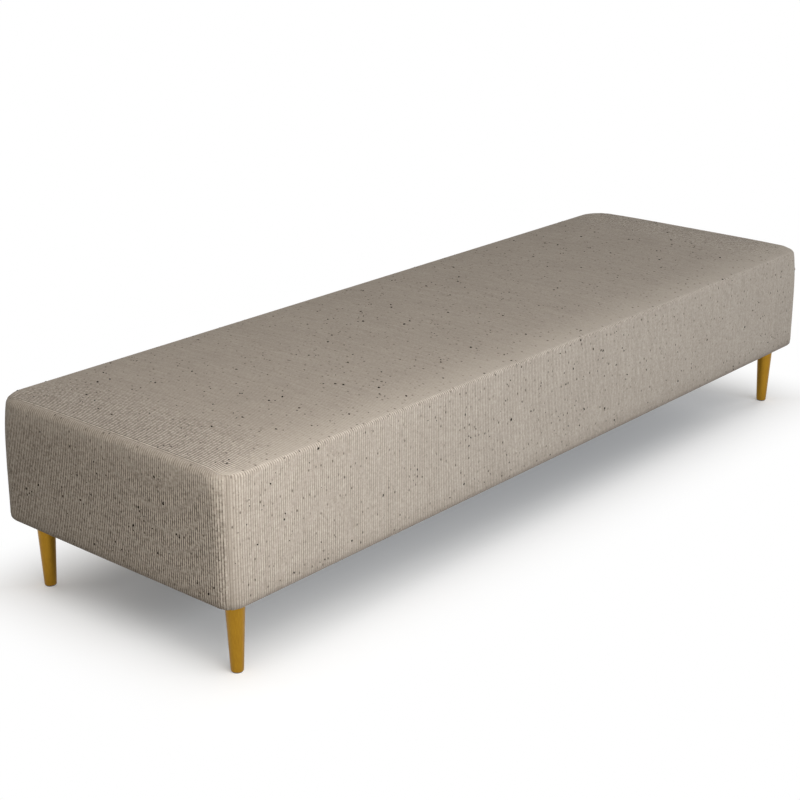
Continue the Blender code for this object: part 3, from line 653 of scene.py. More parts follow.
# Mesh of a panel, mapped in metres of cloth. marks are the painted shade in the furrows, how broken it is
# into dashes, and the painted shade on the bottom edge less the painted light.
def sewPanel(name, points, cloths, length, marks, clothSurface, sign=0):
    uv = np.stack(np.broadcast_arrays(cloths[None] + sign * 3.0, length[:, None]), axis=-1)
    wearAndPaintedShading = np.stack(np.broadcast_arrays(*marks), -1)
    faces = gridFaces(*points.shape[:2], flip=sign < 0)
    return makeMesh(name, points, faces, clothSurface, uv, wearAndPaintedShading=wearAndPaintedShading)


# Main panel: rows up the front, over the seat and down the rear, each eased to its own length. The painted
# shade in the furrows goes from the side's darkness to the seat's with a soft step at the folds, and darkens
# towards the seat's ends by a bell curve of the distance from the seam. It fades beside the upright seams and
# is added in the folds. The seat is painted paler along its front fold, a painted light, and the bottom edge
# darker, a painted shade.
def makeMainPanel(clothSurface):
    cloths, reference = clothColumns(cloth["ribs"])
    side = np.array([0, 1, 1.35, 1.7, 2.02, 2.14, 2.28, 2.42, 2.56, 2.70, 2.84, 2.96, 2.99, 3.2, 3.5, 3.8])
    over = np.array([-1.98, -1.94, -1.90, -1.8, -1.5, -1.2, -1.0, -0.82, -0.55, -0.2])
    over = courseOver(np.concatenate((over, -over[::-1])))
    course = np.concatenate((side, over, 12 - side[::-1]))[:, None]
    step = np.minimum(np.minimum(course, 12 - course), 4)
    straight, band = sideLengths(form["halfLength"], sideProfile(step, math.pi / 4)[2])
    topStraight, cornerBand = sideLengths(form["halfLength"], form["flatTop"])
    topBand = form["highCorner"] - form["endEdge"]
    toSide = ease(abs(np.interp(course, (4, 5, 7, 8), (-1, 0, 0, 1))))
    onTop = (course > 4) & (course < 8)
    straight = np.where(onTop, topStraight, straight)
    band = np.where(onTop, topBand + (cornerBand - topBand) * toSide, band)
    place = clothPlace(cloths[None], straight, band, reference, cloth["easing"])
    points = settled(mainPoints(place, course))
    points += readGrid(swelling[0], coarseCourse, coarsePlace, course, place)
    length = pathLength(points)
    folds = np.interp((4, 8), course[:, 0], length)
    fromFold = abs(length[:, None] - folds).min(axis=1, keepdims=True)
    fromSeam = (reference - abs(cloths))[None]
    points += gridNormals(points) * ribbing(cloths, len(course), fromSeam, 11, fromFold)[..., None]
    # Painted shade in the furrows, set by place on the panel
    seat = ease((2 - abs(course - 6)) / 0.25 + 0.5)
    behind = ease((fromFold - cloth["foldWidth"]) / cloth["foldReach"])
    near = seat * bell(fromSeam, cloth["furrowReach"]) * behind * lessBy(fromSeam, "bySeatSeam")
    depth = cloth["furrowSide"] + (cloth["furrowSeat"] - cloth["furrowSide"]) * seat
    depth = depth + (cloth["furrowSeatEnd"] - depth) * near
    share, width = cloth["byUprightSeam"]
    depth = depth * (1 - share * bell(fromSeam, width) * (1 - seat))
    depth = depth + cloth["furrowFold"] * bell(fromFold, cloth["foldWidth"])
    # Painted light: the seat paler along its front fold
    paintedHighlight = cloth["seatHighlight"] * seat * bell(length[:, None] - folds[0], cloth["seatHighlightReach"])
    marks = (depth, cloth["shadeBreakup"] - cloth["shadeBreakupSeatEnd"] * near, bottomShadeShare(step) - paintedHighlight)
    return sewPanel("coverMain", points, cloths, length, marks, clothSurface), points, cloths, length


# End panel: rows up the end to the seam on top of its rounding, drawn close together there. The painted shade
# in its furrows grows weaker in two soft steps towards the top, painting the upper part lighter, and beside
# the seams. Below the upper seam it is painted paler, a painted light, and along the bottom edge darker, a
# painted shade.
def makeEndPanel(name, sign, swollen, clothSurface, seed):
    cloths, reference = clothColumns(cloth["endRibs"])
    bySeam = np.array([0.0068, 0.0052, 0.0038, 0.0026, 0.0017, 0.0008, 0]) / (form["endEdge"] * math.pi / 2)
    step = np.concatenate(([0, 1, 1.35, 1.7], np.linspace(2.02, 2.98, 30), np.linspace(3.04, 3.62, 8),
                           4 - bySeam))[:, None]
    straight, band = sideLengths(form["halfWidth"], sideProfile(step, math.pi / 4)[2])
    place = clothPlace(cloths[None], straight, band, reference, cloth["endEasing"])
    points = settled(sidePoints(place, step, 1, sign))
    points += readGrid(swollen, coarseStep, coarseOver, step, place)
    length = pathLength(points)
    radius, share = topEdge(facingOf(place, 1))
    fromSeam = np.minimum((reference - abs(cloths))[None], (4 - step) * radius * share * math.pi / 2)
    points += gridNormals(points) * sign * ribbing(cloths, len(step), fromSeam, seed)[..., None]
    # Painted shade in the furrows, weaker towards the top
    left = 1
    for share, start, over in cloth["endWeaker"]:
        left = left - share * ease((step - start) / over)
    depth = cloth["furrowEnd"] * left * lessBy(fromSeam, "byEndSeam")
    # Painted light below the upper seam
    paintedHighlight = cloth["endHighlight"] * bell(length[-1] - length - cloth["endHighlightAt"], cloth["endHighlightAt"])
    marks = (depth, 1.0, bottomShadeShare(step) - paintedHighlight[:, None])
    return sewPanel(name, points, cloths, length, marks, clothSurface, sign), points, cloths, length


# Dark nubs of wool in the yarn, in loose clusters: lumpy balls of many sizes, pressed into the cloth.
nubs = {
    "perSquareMetre": 370, "perSquareMetreEnds": 540,
    "length": 0.0032,         # metres, along the rib
    "width": (0.5, 0.85),     # shares of the length
    "height": 0.42,
    "sizes": (0.05, 0.36, 1.8),   # middle and spread of the sizes' logarithm, and the largest size
    "lumpy": 0.16,            # share by which the points of a ball stand in or out
    "turned": 0.5,            # radians
    "spread": 0.011,          # how far a cluster scatters
    "together": 0.45,         # share of nubs that lie in the cluster of another one
    "fromSeam": 0.006, "fromEdge": 0.035,
    "strewn": (0.04, 0.05),   # how far from both ends of a panel's length they are first strewn
}


def makeLump():  # a ball of three rings of seven points and two poles, all triangles
    around = np.arange(7)
    level, angle = np.radians([-48, 4, 50])[:, None], around * 2 * math.pi / 7
    rings = np.stack((np.cos(level) * np.cos(angle), np.cos(level) * np.sin(angle),
                      np.broadcast_to(np.sin(level), (3, 7))), -1).reshape(-1, 3)
    belt = gridFaces(3, 7, wrap=True)
    ends = [np.stack((np.full(7, pole), (around + turn) % 7 + start, (around + 1 - turn) % 7 + start), -1)
            for pole, start, turn in ((21, 0, 1), (22, 14, 0))]
    faces = np.concatenate((belt[:, :3], belt[:, [0, 2, 3]], *ends))
    return np.concatenate((rings, [[0, 0, -1], [0, 0, 1]])), faces


# Place and unit vectors at some rows and columns of a panel's grid: up is its normal, ahead runs along the
# rib and is made square to up.
def standOn(points, sign, rows, columns):
    down, right = range(points.shape[0]), range(points.shape[1])
    at = readGrid(points, down, right, rows, columns)
    up = readGrid(gridNormals(points) * (sign or 1), down, right, rows, columns)
    up /= np.linalg.norm(up, axis=-1, keepdims=True)
    ahead = readGrid(points, down, right, np.minimum(rows + 0.1, len(points) - 1), columns) - at
    ahead -= up * (ahead * up).sum(-1, keepdims=True)
    ahead /= np.maximum(np.linalg.norm(ahead, axis=-1, keepdims=True), 1e-12)
    return at, up, ahead


# Nubs at random places of each panel, a share of them moved to another nub's place plus a Gauss scatter. Each
# point of a ball is the place plus its three parts times the nub's own axes.
def scatterNubs(panels, nubSurface):
    ball, corners = makeLump()
    rng = np.random.default_rng(5)
    allPoints, allFaces, start = [], [], 0
    for points, cloths, length, sign in panels:
        low, high = nubs["strewn"][0], length[-1] - nubs["strewn"][1]
        wide = cloths[-1] - cloths[0]
        count = int(nubs["perSquareMetreEnds" if sign else "perSquareMetre"] * wide * high)
        half = wide / 2 - nubs["fromSeam"]
        across, along = rng.uniform(-half, half, count), rng.uniform(low, high, count)
        leader = rng.integers(0, count, count)
        joins = rng.random(count) < nubs["together"]
        across = np.where(joins, across[leader] + rng.normal(0, nubs["spread"], count), across)
        along = np.where(joins, along[leader] + rng.normal(0, nubs["spread"], count), along)
        across = np.clip(across, -half, half)
        along = np.clip(along, nubs["fromEdge"], length[-1] - nubs["fromSeam" if sign else "fromEdge"])
        at, up, ahead = standOn(points, sign, np.interp(along, length, range(len(length))),
                                np.interp(across, cloths, range(len(cloths))))
        aside = np.cross(up, ahead)
        turned = rng.normal(0, nubs["turned"], count)[:, None]
        ahead, aside = (ahead * np.cos(turned) + aside * np.sin(turned),
                        aside * np.cos(turned) - ahead * np.sin(turned))
        middle, spread, largest = nubs["sizes"]
        size = nubs["length"] / 2 * np.minimum(rng.lognormal(middle, spread, count), largest)[:, None]
        local = ball[None] * (1 + nubs["lumpy"] * rng.standard_normal((count, len(ball))))[..., None]
        width = rng.uniform(*nubs["width"], (count, 1))
        made = (at[:, None] + local[..., 0:1] * (ahead * size)[:, None]
                + local[..., 1:2] * (aside * size * width)[:, None]
                + local[..., 2:3] * (up * size * nubs["height"])[:, None])
        allPoints.append(made.reshape(-1, 3))
        allFaces.append((corners[None] + start + len(ball) * np.arange(count)[:, None, None]).reshape(-1, 3))
        start += count * len(ball)
    return makeMesh("woolNubs", np.concatenate(allPoints), np.concatenate(allFaces), nubSurface)


def makeNubSurface():  # nearly black wool, some nubs browner, with fine lint as colour and height
    made, tree = surface("darkWool", 1.0, Specular_IOR_Level=0.1)
    place = objectPlace(tree)
    lint, tone = noise(place, 900.0, 2.0), noise(place, 60.0, 0.0)
    colour = blend(ramp(tone, 0.52, 0.70), cloth["nub"], cloth["fleck"])
    colour = blend(ramp(lint, 0.55, 0.8, 0, 0.35), colour, cloth["darkYarnAndShade"])
    return dress(made, colour, lint, 0.0004)


print("cover: weaving the panels")
clothSurface = makeClothSurface()
coverMain, mainGrid, mainCloths, mainLength = makeMainPanel(clothSurface)
coverLeft, leftGrid, leftCloths, leftLength = makeEndPanel("coverLeft", -1, swelling[1], clothSurface, 12)
coverRight, rightGrid, rightCloths, rightLength = makeEndPanel("coverRight", 1, swelling[2], clothSurface, 13)
woolNubs = scatterNubs(((mainGrid, mainCloths, mainLength, 0), (leftGrid, leftCloths, leftLength, -1),
                        (rightGrid, rightCloths, rightLength, 1)), makeNubSurface())
for piece, node in ((coverMain, "cover_main_panel"), (coverLeft, "cover_left_panel"),
                    (coverRight, "cover_right_panel")):
    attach(piece, "root")
    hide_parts(node)
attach(woolNubs, "root")
print("cover: main", len(coverMain.data.polygons), "faces, nubs", len(woolNubs.data.polygons))


# Layers under the cover
inside = {
    "cover": 0.0018,          # metres from the outside of the cover to the wadding
    "wadding": 0.0060,
    "foam": 0.0081,           # inset of the foam
    "sidePad": 0.0120,
    "clear": 0.0003,          # air between two layers, and how much thinner a pad is than its place
    "padClear": 0.001,
    "padFrom": 0.012,         # height of a side pad's lower edge above the bottom
    "seatBottom": 0.3319,
}


def fibreSurface(name, pale, dark, scale, depth):  # matted fibres or open cells, by scale and depth
    made, tree = surface(name, 1.0, Specular_IOR_Level=0.1)
    place = objectPlace(tree)
    gaps = ramp(cells(place, scale)["Distance"], 0.0, 0.6, 0.6, 1.0)
    tone = times(ramp(noise(place, scale / 3, 4.0, distortion=1.5), 0.3, 0.7), gaps)
    return dress(made, blend(tone, dark, pale), tone, depth)


# Wadding: the coarse shell at an inset, moved by the same swelling as the cover, with its thickness inwards.
def makeWadding(waddingSurface):
    _, points, faces, back = coarseShell(inside["cover"] + inside["clear"])
    shift = np.zeros_like(points)
    shift[back] = np.concatenate([grid.reshape(-1, 3) for grid in swelling])
    piece = makeMesh("waddingWrap", settled(points) + shift, faces, waddingSurface)
    return addWall(piece, inside["wadding"] - 2 * inside["clear"])


# Seat slab: the top of the form and its sides down to the deck, closed by a flat underside of quads that meet
# in its middle. The rows of a side go evenly up to the rounding at step 3, then round it.
def makeSeatFoam(foamSurface):
    inset = inside["foam"]
    share, arc = np.linspace(0, 1, 5)[:, None], np.array([[3.35], [3.7], [4.0]])
    rows = []
    for place, facing in ((coarsePlace, 0), (coarseOver, 1)):
        low = stepAt(inside["seatBottom"], facingOf(place, facing), inset)
        rows.append(np.concatenate((low * (1 - share) + 3 * share, arc + 0 * low)))
    over = np.broadcast_to(courseOver(coarseOver[1:-1])[:, None], (len(coarseOver) - 2, len(coarsePlace)))
    main = mainPoints(coarsePlace[None], np.concatenate((rows[0], over, 12 - rows[0][::-1])), inset)
    ends = [sidePoints(coarseOver[None], rows[1], 1, sign, inset) for sign in (-1, 1)]
    points, faces = joinGrids((main, *ends, np.array([[[0, 0, inside["seatBottom"]]]])), (False, True, False))
    first, back = welded(points)
    wide, deep, size = len(coarsePlace), len(coarseOver), len(main) * len(coarsePlace)
    count = len(rows[1]) * deep
    rim = back[np.concatenate((np.arange(wide - 1), size + count + np.arange(deep - 1),
                               size - 1 - np.arange(wide - 1), size + deep - 1 - np.arange(deep)))]
    fan = np.stack((np.full(len(rim) // 2, back[-1]), rim[2::2], rim[1::2], rim[:-1:2]), -1)
    return makeMesh("seatFoam", settled(points[first]), np.concatenate((back[faces], fan)), foamSurface)


# Side pad: the side of the form from above its bottom edge up to the deck, as thick as the pad.
def makeSidePad(name, facing, sign, foamSurface):
    inset = inside["foam"]
    place = np.linspace(-1.9, 1.9, 61)[None]
    low, high = form["bottom"] + inside["padFrom"], form["deckTop"] - 2 * inside["clear"]
    height = np.linspace(low, high, 12)[:, None]
    points = sidePoints(place, stepAt(height, facingOf(place, facing), inset), facing, sign, inset)
    faces = gridFaces(*points.shape[:2], flip=(sign > 0) != (facing == 1))
    return addWall(makeMesh(name, points, faces, foamSurface), inside["sidePad"] - inside["padClear"])


print("padding: wadding, seat foam and side pads")
waddingSurface = fibreSurface("wadding", (0.80, 0.80, 0.77, 1), (0.60, 0.60, 0.57, 1), 260, 0.0012)
foamSurface = fibreSurface("openFoam", (0.78, 0.70, 0.48, 1), (0.58, 0.50, 0.30, 1), 700, 0.0005)
wadding = makeWadding(waddingSurface)
seatFoam = makeSeatFoam(foamSurface)
pads = [(wadding, "wadding_wrap", "wadding", 0.35), (seatFoam, "seat_foam", "foam", 0.9)]
for label, facing, sign in (("Front", 0, -1), ("Rear", 0, 1), ("Left", 1, -1), ("Right", 1, 1)):
    pad = makeSidePad("sidePad" + label, facing, sign, foamSurface)
    pads.append((pad, "side_pad_" + label.lower(), "foam", 0.9))
for piece, node, slot, fill in pads:
    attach(piece, "root")
    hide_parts(node)


# Legs, measured in metres
legs = {
    "places": ((-1, -1), (1, -1), (-1, 1), (1, 1)),
    "x": 0.940, "y": 0.2655,
    "top": 0.1486, "foot": 0.0021,
    "topRadius": 0.019, "footRadius": 0.012,
    "wall": 0.002, "headDepth": 0.024, "bore": 0.0043,
    "lip": 0.0012,            # rounding of the foot and of the head
    "segments": 72,
}


# Leg: a profile of radius and height turned round the leg's axis. The outside is a straight taper between two
# rounded lips; the inside is bored like the tube and its head.
def makeLeg(name, signX, signY, brassSurface):
    height, lip = legs["top"] - legs["foot"], legs["lip"]
    lean = (legs["topRadius"] - legs["footRadius"]) / height
    turn = np.linspace(0, math.pi / 2, 6)
    low = np.stack((legs["footRadius"] - lip + lip * np.sin(turn), lip - lip * np.cos(turn)), -1)
    rise = np.linspace(lip, height - lip, 14)[1:]
    body = np.stack((legs["footRadius"] + lean * rise, rise), -1)
    turn = turn[1:]
    high = np.stack((legs["topRadius"] - lip + lip * np.cos(turn), height - lip + lip * np.sin(turn)), -1)
    cavity, inner = height - legs["headDepth"], legs["footRadius"] - legs["wall"]
    bore = [(legs["bore"], height), (legs["bore"], cavity), (inner + cavity * lean, cavity), (inner, 0.0)]
    radius, level = np.concatenate((low, body, high, bore))[..., None].transpose(1, 0, 2)
    angle = np.arange(legs["segments"]) * 2 * math.pi / legs["segments"]
    x, y = signX * legs["x"] + radius * np.cos(angle), signY * legs["y"] + radius * np.sin(angle)
    points = np.stack(np.broadcast_arrays(x, y, legs["foot"] + level), -1)
    rows, columns = points.shape[:2]
    closing = gridFaces(2, columns, wrap=True)
    closing = np.where(closing < columns, closing + (rows - 1) * columns, closing - columns)
    faces = np.concatenate((gridFaces(rows, columns, wrap=True), closing))
    piece = makeMesh(name, points, faces, brassSurface)
    piece.data.set_sharp_from_angle(angle=math.radians(38))
    return piece


# Thin black cloth under the frame. A rectangle whose corner squares go onto quarter discs; it hangs a little
# between its staples, as a product of two waves, but not round the legs, and ripples along its edge.
dustCover = {
    "inset": 0.016, "corner": 0.020, "top": 0.1497, "thickness": 0.0008,
    "columns": 180, "rows": 56,
    "clear": 0.0002,          # air under the frame
    "sag": 0.0022,            # metres, its height where it is slackest
    "fromEdge": (0.012, 0.09),    # metres from the edge and a leg where it starts to hang, and how far on
    "fromLeg": (0.03, 0.06),
    "waves": (13.2, 7.0),     # radians to a metre along X and Y
    "ripple": 0.00035, "rippleEdge": 0.02,
    "stapleEdge": 0.008, "staplePitch": 0.045,
    "stapleCorner": (0.03, 0.02),     # first staple from a corner, and room kept before the next corner
    "stapleTurned": 0.12,     # radians, and metres, that a staple is out of line
    "stapleMoved": 0.0012,
    "stapleWidth": 0.010, "stapleDepth": 0.0022, "wire": 0.0006,
}


def makeDustCover(dustSurface):
    halfX, halfY = form["halfLength"] - dustCover["inset"], form["halfWidth"] - dustCover["inset"]
    corner = dustCover["corner"]
    placeX, placeY = bandedAxis(dustCover["columns"])[None], bandedAxis(dustCover["rows"])[:, None]
    partX, partY = cornerDisc(placeX, placeY)
    x = np.sign(placeX) * (np.minimum(abs(placeX), 1) * (halfX - corner) + corner * partX)
    y = np.sign(placeY) * (np.minimum(abs(placeY), 1) * (halfY - corner) + corner * partY)
    fromEdge = np.minimum(halfX - abs(x), halfY - abs(y))
    fromLeg = np.hypot(abs(x) - legs["x"], abs(y) - legs["y"])
    waveX, waveY = dustCover["waves"]
    sag = dustCover["sag"]
    for distance, name in ((fromEdge, "fromEdge"), (fromLeg, "fromLeg")):
        start, over = dustCover[name]
        sag = sag * ease((distance - start) / over)
    sag = sag * (0.55 + 0.45 * np.sin(x * waveX + 0.6) * np.cos(y * waveY))
    edge = dustCover["rippleEdge"]
    ripple = np.sin(x * 2 * math.pi / dustCover["staplePitch"]) * bell(fromEdge - edge, edge)
    sag = sag + dustCover["ripple"] * abs(ripple)
    z = dustCover["top"] - dustCover["thickness"] - dustCover["clear"] - sag
    faces = gridFaces(*x.shape, flip=True)
    piece = makeMesh("dustCover", np.stack((x, y, z), -1), faces, dustSurface, np.stack((x, y), -1))
    return addWall(piece, dustCover["thickness"] - inside["clear"])


# Staples round the edge: a bent wire of four sides whose centre line is a path of six points, each turned and
# moved a little out of line.
def makeStaples(steelSurface):
    halfX = form["halfLength"] - dustCover["inset"] - dustCover["stapleEdge"]
    halfY = form["halfWidth"] - dustCover["inset"] - dustCover["stapleEdge"]
    first, room = dustCover["stapleCorner"]
    runX, runY = [np.arange(first - half, half - room, dustCover["staplePitch"]) for half in (halfX, halfY)]
    rng = np.random.default_rng(3)
    middle = np.concatenate([np.stack((runX, np.full_like(runX, side * halfY)), -1) for side in (-1, 1)]
                            + [np.stack((np.full_like(runY, side * halfX), runY), -1) for side in (-1, 1)])
    turned = np.concatenate((np.zeros(2 * len(runX)), np.full(2 * len(runY), math.pi / 2)))
    turned = (turned + rng.normal(0, dustCover["stapleTurned"], len(turned)))[:, None]
    middle = middle + rng.normal(0, dustCover["stapleMoved"], middle.shape)
    half, wire, deep = dustCover["stapleWidth"] / 2, dustCover["wire"], dustCover["stapleDepth"]
    line = np.array([(-half, deep), (-half, 0.0), (-half * 0.86, -wire / 2), (half * 0.86, -wire / 2),
                     (half, 0.0), (half, deep)])[:, None]
    ring = np.array([(-1, -1), (1, -1), (1, 1), (-1, 1)])[None] * wire / 2
    out = np.array([(-1, 0), (-1, 0), (-0.4, -1), (0.4, -1), (1, 0), (1, 0)], float)[:, None]
    out /= np.linalg.norm(out, axis=-1, keepdims=True)
    across = (line[..., 0] + out[..., 0] * ring[..., 0]).reshape(1, -1)
    along = np.broadcast_to(ring[..., 1], (6, 4)).reshape(1, -1)
    level = dustCover["top"] - dustCover["thickness"] - 2 * dustCover["clear"]
    height = level + (line[..., 1] + out[..., 1] * ring[..., 0]).reshape(1, -1)
    x = across * np.cos(turned) - along * np.sin(turned) + middle[:, :1]
    y = across * np.sin(turned) + along * np.cos(turned) + middle[:, 1:]
    faces = np.concatenate((gridFaces(6, 4, wrap=True), [[3, 2, 1, 0], [20, 21, 22, 23]]))
    faces = (faces[None] + 24 * np.arange(len(middle))[:, None, None]).reshape(-1, 4)
    return makeMesh("dustCoverStaples", np.stack(np.broadcast_arrays(x, y, height), -1), faces, steelSurface,
                    smooth=False)


# Fine brushing for metals: noise stretched round or along the piece, as a tone and as a height.
def makeBrushing():
    tree, given, gives = newTree("brushing", (("Along", "Float", 40.0), ("Round", "Float", 900.0),
                                              ("Wear", "Float", 0.4)),
                                 (("Tone", "Float"), ("Height", "Float")))
    place = objectPlace(tree)
    x, y, z = split(place)
    spread = join(times(x, given["Along"]), times(y, given["Along"]), times(z, given["Round"]))
    lines, clouds = noise(spread, 1.0, 3.0), noise(place, 45.0, 3.0)
    wearAndPaintedShading = times(ramp(clouds, 0.4, 0.75), given["Wear"])
    tree.links.new(plus(ramp(lines, 0.3, 0.7), wearAndPaintedShading), gives["Tone"])
    tree.links.new(lines, gives["Height"])
    return tree


def metalSurface(name, pale, dark, roughness, metallic, brushing, marks, depth):  # brushed, darker where worn
    made, tree = surface(name, roughness, metallic)
    along, turns, wear = marks
    inputs = {"Along": along, "Round": turns, "Wear": wear}
    tone, height = put(tree, "Group", inputs, node_tree=brushing).outputs
    return dress(made, blend(ramp(tone, 0.2, 1.2), pale, dark), height, depth,
                 ramp(tone, 0.0, 1.3, roughness - 0.05, roughness + 0.10))


def makeDustSurface():  # black spunbond cloth: a mesh of small bonds and fibres
    made, tree = surface("blackLining", 0.9, Specular_IOR_Level=0.2)
    place = put(tree, "UVMap", uv_map="cloth").outputs[0]
    bonds = ramp(cells(place, 520.0, flat=True)["Distance"], 0.1, 0.5, 0, 0.6)
    tone = plus(bonds, ramp(noise(place, 240.0, 4.0, distortion=2.0), 0.4, 0.7, 0, 0.4))
    colour = blend(tone, (0.012, 0.012, 0.013, 1), (0.045, 0.045, 0.048, 1))
    return dress(made, colour, tone, 0.0002)


print("underside: dust cover and staples")
brushing = makeBrushing()
brassSurface = metalSurface("satinBrass", (0.37, 0.195, 0.012, 1), (0.28, 0.140, 0.008, 1), 0.36, 0.80,
                            brushing, (1800, 26, 0.25), 0.00001)
steelSurface = metalSurface("zincSteel", (0.55, 0.55, 0.53, 1), (0.34, 0.34, 0.34, 1), 0.38, 1.0,
                            brushing, (300, 300, 0.8), 0.00003)
dustSheet = makeDustCover(makeDustSurface())
staples = makeStaples(steelSurface)
for piece in (dustSheet, staples):
    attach(piece, "root")
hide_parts("dust_cover")

print("legs: four turned brass legs")
for signX, signY in legs["places"]:
    label = ("front", "rear")[signY > 0] + "_" + ("left", "right")[signX > 0]
    leg = makeLeg("leg" + label.title().replace("_", ""), signX, signY, brassSurface)
    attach(leg, "root")
    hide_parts("leg_" + label)


# Wood, nylon and steel on the CAD's own pieces
# Wood grain: rings of noise stretched along the board, with fine pores. The stretch is given per axis.
def makeGrain():
    tree, given, gives = newTree("grain", (("Stretch", "Vector", (1.0, 1.0, 1.0)), ("Rings", "Float", 9.0),
                                           ("Pale", "Color", (0.7, 0.5, 0.3, 1)),
                                           ("Dark", "Color", (0.4, 0.25, 0.12, 1))),
                                 (("Color", "Color"), ("Height", "Float")))
    place = {0: objectPlace(tree), 1: given["Stretch"]}
    place = put(tree, "VectorMath", place, operation="MULTIPLY").outputs[0]
    rings = noise(place, given["Rings"], 2.0, distortion=0.8)
    bands = calc("PINGPONG", times(rings, 9.0), 1.0)
    pores = ramp(noise(place, 160.0, 3.0), 0.45, 0.7, 0, 0.35)
    tone = plus(times(bands, 0.65), pores)
    tree.links.new(blend(tone, given["Pale"], given["Dark"]), gives["Color"])
    tree.links.new(tone, gives["Height"])
    return tree


def woodSurface(name, grain, stretch, pale, dark, roughness):  # the grain's colour, and its tone as a height
    made, tree = surface(name, roughness)
    inputs = {"Stretch": stretch, "Pale": pale, "Dark": dark}
    return dress(made, *put(tree, "Group", inputs, node_tree=grain).outputs, 0.0003)


def makeNylonSurface():  # dark grey, with fine scuffs that are paler and rougher
    made, tree = surface("greyNylon", 0.5)
    scuffs = noise(objectPlace(tree), 700.0, 3.0)
    colour = blend(ramp(scuffs, 0.4, 0.8), (0.07, 0.07, 0.07, 1), (0.14, 0.14, 0.135, 1))
    return dress(made, colour, rough=ramp(scuffs, 0.3, 0.8, 0.42, 0.62))


print("frame: wood, nylon and steel")
grain = makeGrain()
plyPale, plyDark = (0.66, 0.48, 0.28, 1), (0.46, 0.30, 0.15, 1)
pinePale, pineDark = (0.74, 0.53, 0.29, 1), (0.55, 0.33, 0.14, 1)
finishes = {                  # by the first words of a name; the first that fits counts
    ("frame_front", "frame_rear", "seat_deck"): woodSurface("birchPlyLong", grain, (0.12, 1.0, 1.0), plyPale,
                                                            plyDark, 0.6),
    ("frame_", "cross_rib"): woodSurface("birchPlyCross", grain, (1.0, 0.12, 1.0), plyPale, plyDark, 0.6),
    ("corner_block",): woodSurface("pineBlock", grain, (1.0, 1.0, 0.12), pinePale, pineDark, 0.65),
    ("foot_glide",): makeNylonSurface(),
    ("leg_stud", "tee_nut", "block_screw", "deck_screw"): steelSurface,
}
for name, item in nodes.items():
    finish = next((finishes[starts] for starts in finishes if name.startswith(starts)), None)
    if finish:
        for held in item.material_slots:
            held.material = finish

# Stage, light and camera
studio = {
    "cameraPlace": (-2.7292, -2.191, 1.4599),
    "yaw": 40.759, "pitch": 19.896, "lens": 74.39,
    "floorSide": 60.0,
    "floorSeen": (1.0, 1.0, 1.0, 1),         # as the camera sees it near the bench, to white further out
    "floorPale": 0.06,                       # share of white glow in the shadow, painted light
    "floorLit": (0.52, 0.52, 0.52, 1),       # as it lights the bench
    "whiteFrom": -0.15, "whiteTo": 0.18,     # metres out from the bench
    "world": 0.27, "worldTint": (1.05, 1.0, 0.93, 1),
    "softboxes": (                           # name, place, aim, size, watts, tint
        ("frontSoftbox", (0.2, -2.4, 0.9), (0.4, -0.3, 0.25), (3.0, 0.9), 41.0, (0.94, 0.99, 1.05)),
        ("overheadSoftbox", (-1.0, -0.7, 2.2), (-0.5, -0.1, 0.3), (2.0, 1.2), 14.0, (1.04, 1.0, 0.96)),
        ("cornerSoftbox", (-1.25, -1.0, 0.75), (-0.95, -0.3, 0.3), (0.6, 0.6), 5.2, (1.02, 1.0, 0.97)),
        ("backSoftbox", (-0.2, 2.4, 1.2), (0.0, 0.3, 0.0), (3.0, 1.0), 11.0, (1.0, 1.0, 1.0)),
        ("rightSoftbox", (3.0, 0.0, 1.0), (1.0, 0.0, 0.0), (1.4, 0.9), 15.0, (1.0, 1.0, 1.0)),
        ("leftSoftbox", (-2.4, -1.0, 0.5), (-1.0, 0.0, 0.2), (0.8, 0.5), 2.1, (1.08, 1.0, 0.86)),
    ),
}


def directRays(tree):  # 1 for camera, mirror and glass rays, otherwise 0
    rays = put(tree, "LightPath").outputs
    return most(rays["Is Camera Ray"], most(rays["Is Glossy Ray"], rays["Is Transmission Ray"]))


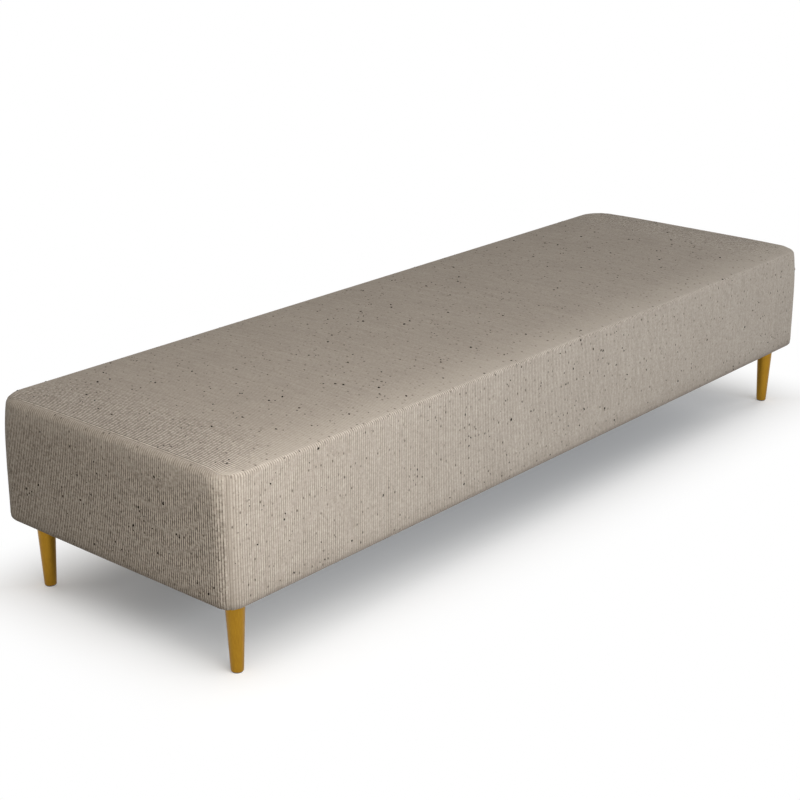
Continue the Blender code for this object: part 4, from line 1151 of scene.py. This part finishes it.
# The floor. Camera, mirror and glass rays see it nearly white with the bench's shadow on it, and pure white
# further out. The white is an emission mixed in from inside the bench's rectangle and at a small share even
# in the shadow's core, so it paints light over the shadow and narrows it. How far out is the distance from
# the rectangle of the bench, below zero inside it.
def makeFloor():
    made = bpy.data.materials.new("paleFloor")
    made.use_nodes = True
    tree = made.node_tree
    tree.nodes.remove(tree.nodes["Principled BSDF"])
    x, y, _ = split(objectPlace(tree))
    out = [calc("SUBTRACT", calc("ABSOLUTE", place), form[half])
           for place, half in ((x, "halfLength"), (y, "halfWidth"))]
    squares = [times(part, part) for part in (most(way, 0.0) for way in out)]
    far = plus(calc("SQRT", plus(*squares)), calc("MINIMUM", most(*out), 0.0))
    far = ramp(far, studio["whiteFrom"], studio["whiteTo"], way="SMOOTHSTEP")
    near = put(tree, "BsdfDiffuse", {"Color": studio["floorSeen"]}).outputs[0]
    white = put(tree, "Emission", {"Strength": 1.0}).outputs[0]
    share = ramp(far, 0, 1, studio["floorPale"], 1.0)
    seen = put(tree, "MixShader", {0: share, 1: near, 2: white}).outputs[0]
    lit = put(tree, "BsdfDiffuse", {"Color": studio["floorLit"]}).outputs[0]
    mixed = put(tree, "MixShader", {0: directRays(tree), 1: lit, 2: seen}).outputs[0]
    tree.links.new(mixed, tree.nodes["Material Output"].inputs["Surface"])
    line = np.linspace(-0.5, 0.5, 9) * studio["floorSide"]
    points = np.stack(np.broadcast_arrays(line[None], line[:, None], 0.0), -1)
    return makeMesh("floor", points, gridFaces(9, 9), made)


def makeWorld():  # white to direct rays, otherwise a dim tinted glow
    world = bpy.data.worlds.new("studio")
    scene.world = world
    world.use_nodes = True
    tree = world.node_tree
    glow, direct = tree.nodes["Background"].inputs, directRays(tree)
    tree.links.new(ramp(direct, 0, 1, studio["world"], 1.0), glow["Strength"])
    tree.links.new(blend(direct, studio["worldTint"], (1, 1, 1, 1)), glow["Color"])


def aimed(item, place, aim):  # turns a lamp so that its -Z looks at a point: tilt and heading by arc tangents
    x, y, z = np.subtract(aim, place)
    item.location = place
    item.rotation_euler = (math.atan2(math.hypot(x, y), -z), 0, math.atan2(y, x) - math.pi / 2)


def makeLights():  # the softboxes of the studio, unseen by the camera
    for name, place, aim, size, watts, tint in studio["softboxes"]:
        soft = bpy.data.lights.new(name, "AREA")
        soft.shape, soft.energy, soft.color = "RECTANGLE", watts, tint
        soft.size, soft.size_y = size
        lamp = bpy.data.objects.new(name, soft)
        lamp.visible_camera = False
        aimed(lamp, place, aim)
        scene.collection.objects.link(lamp)


def makeCamera():  # as the photo was taken: yaw from +X, pitch down from level
    eye = bpy.data.cameras.new("camera")
    eye.sensor_width, eye.lens = 36, studio["lens"]
    eye.clip_start, eye.clip_end = 0.1, 200
    camera = bpy.data.objects.new("camera", eye)
    camera.location = studio["cameraPlace"]
    camera.rotation_euler = (math.radians(90 - studio["pitch"]), 0, math.radians(studio["yaw"] - 90))
    scene.collection.objects.link(camera)
    scene.camera = camera


print("stage: floor, lights and camera")
makeFloor()
makeWorld()
makeLights()
makeCamera()
scene.view_settings.view_transform = "Standard"
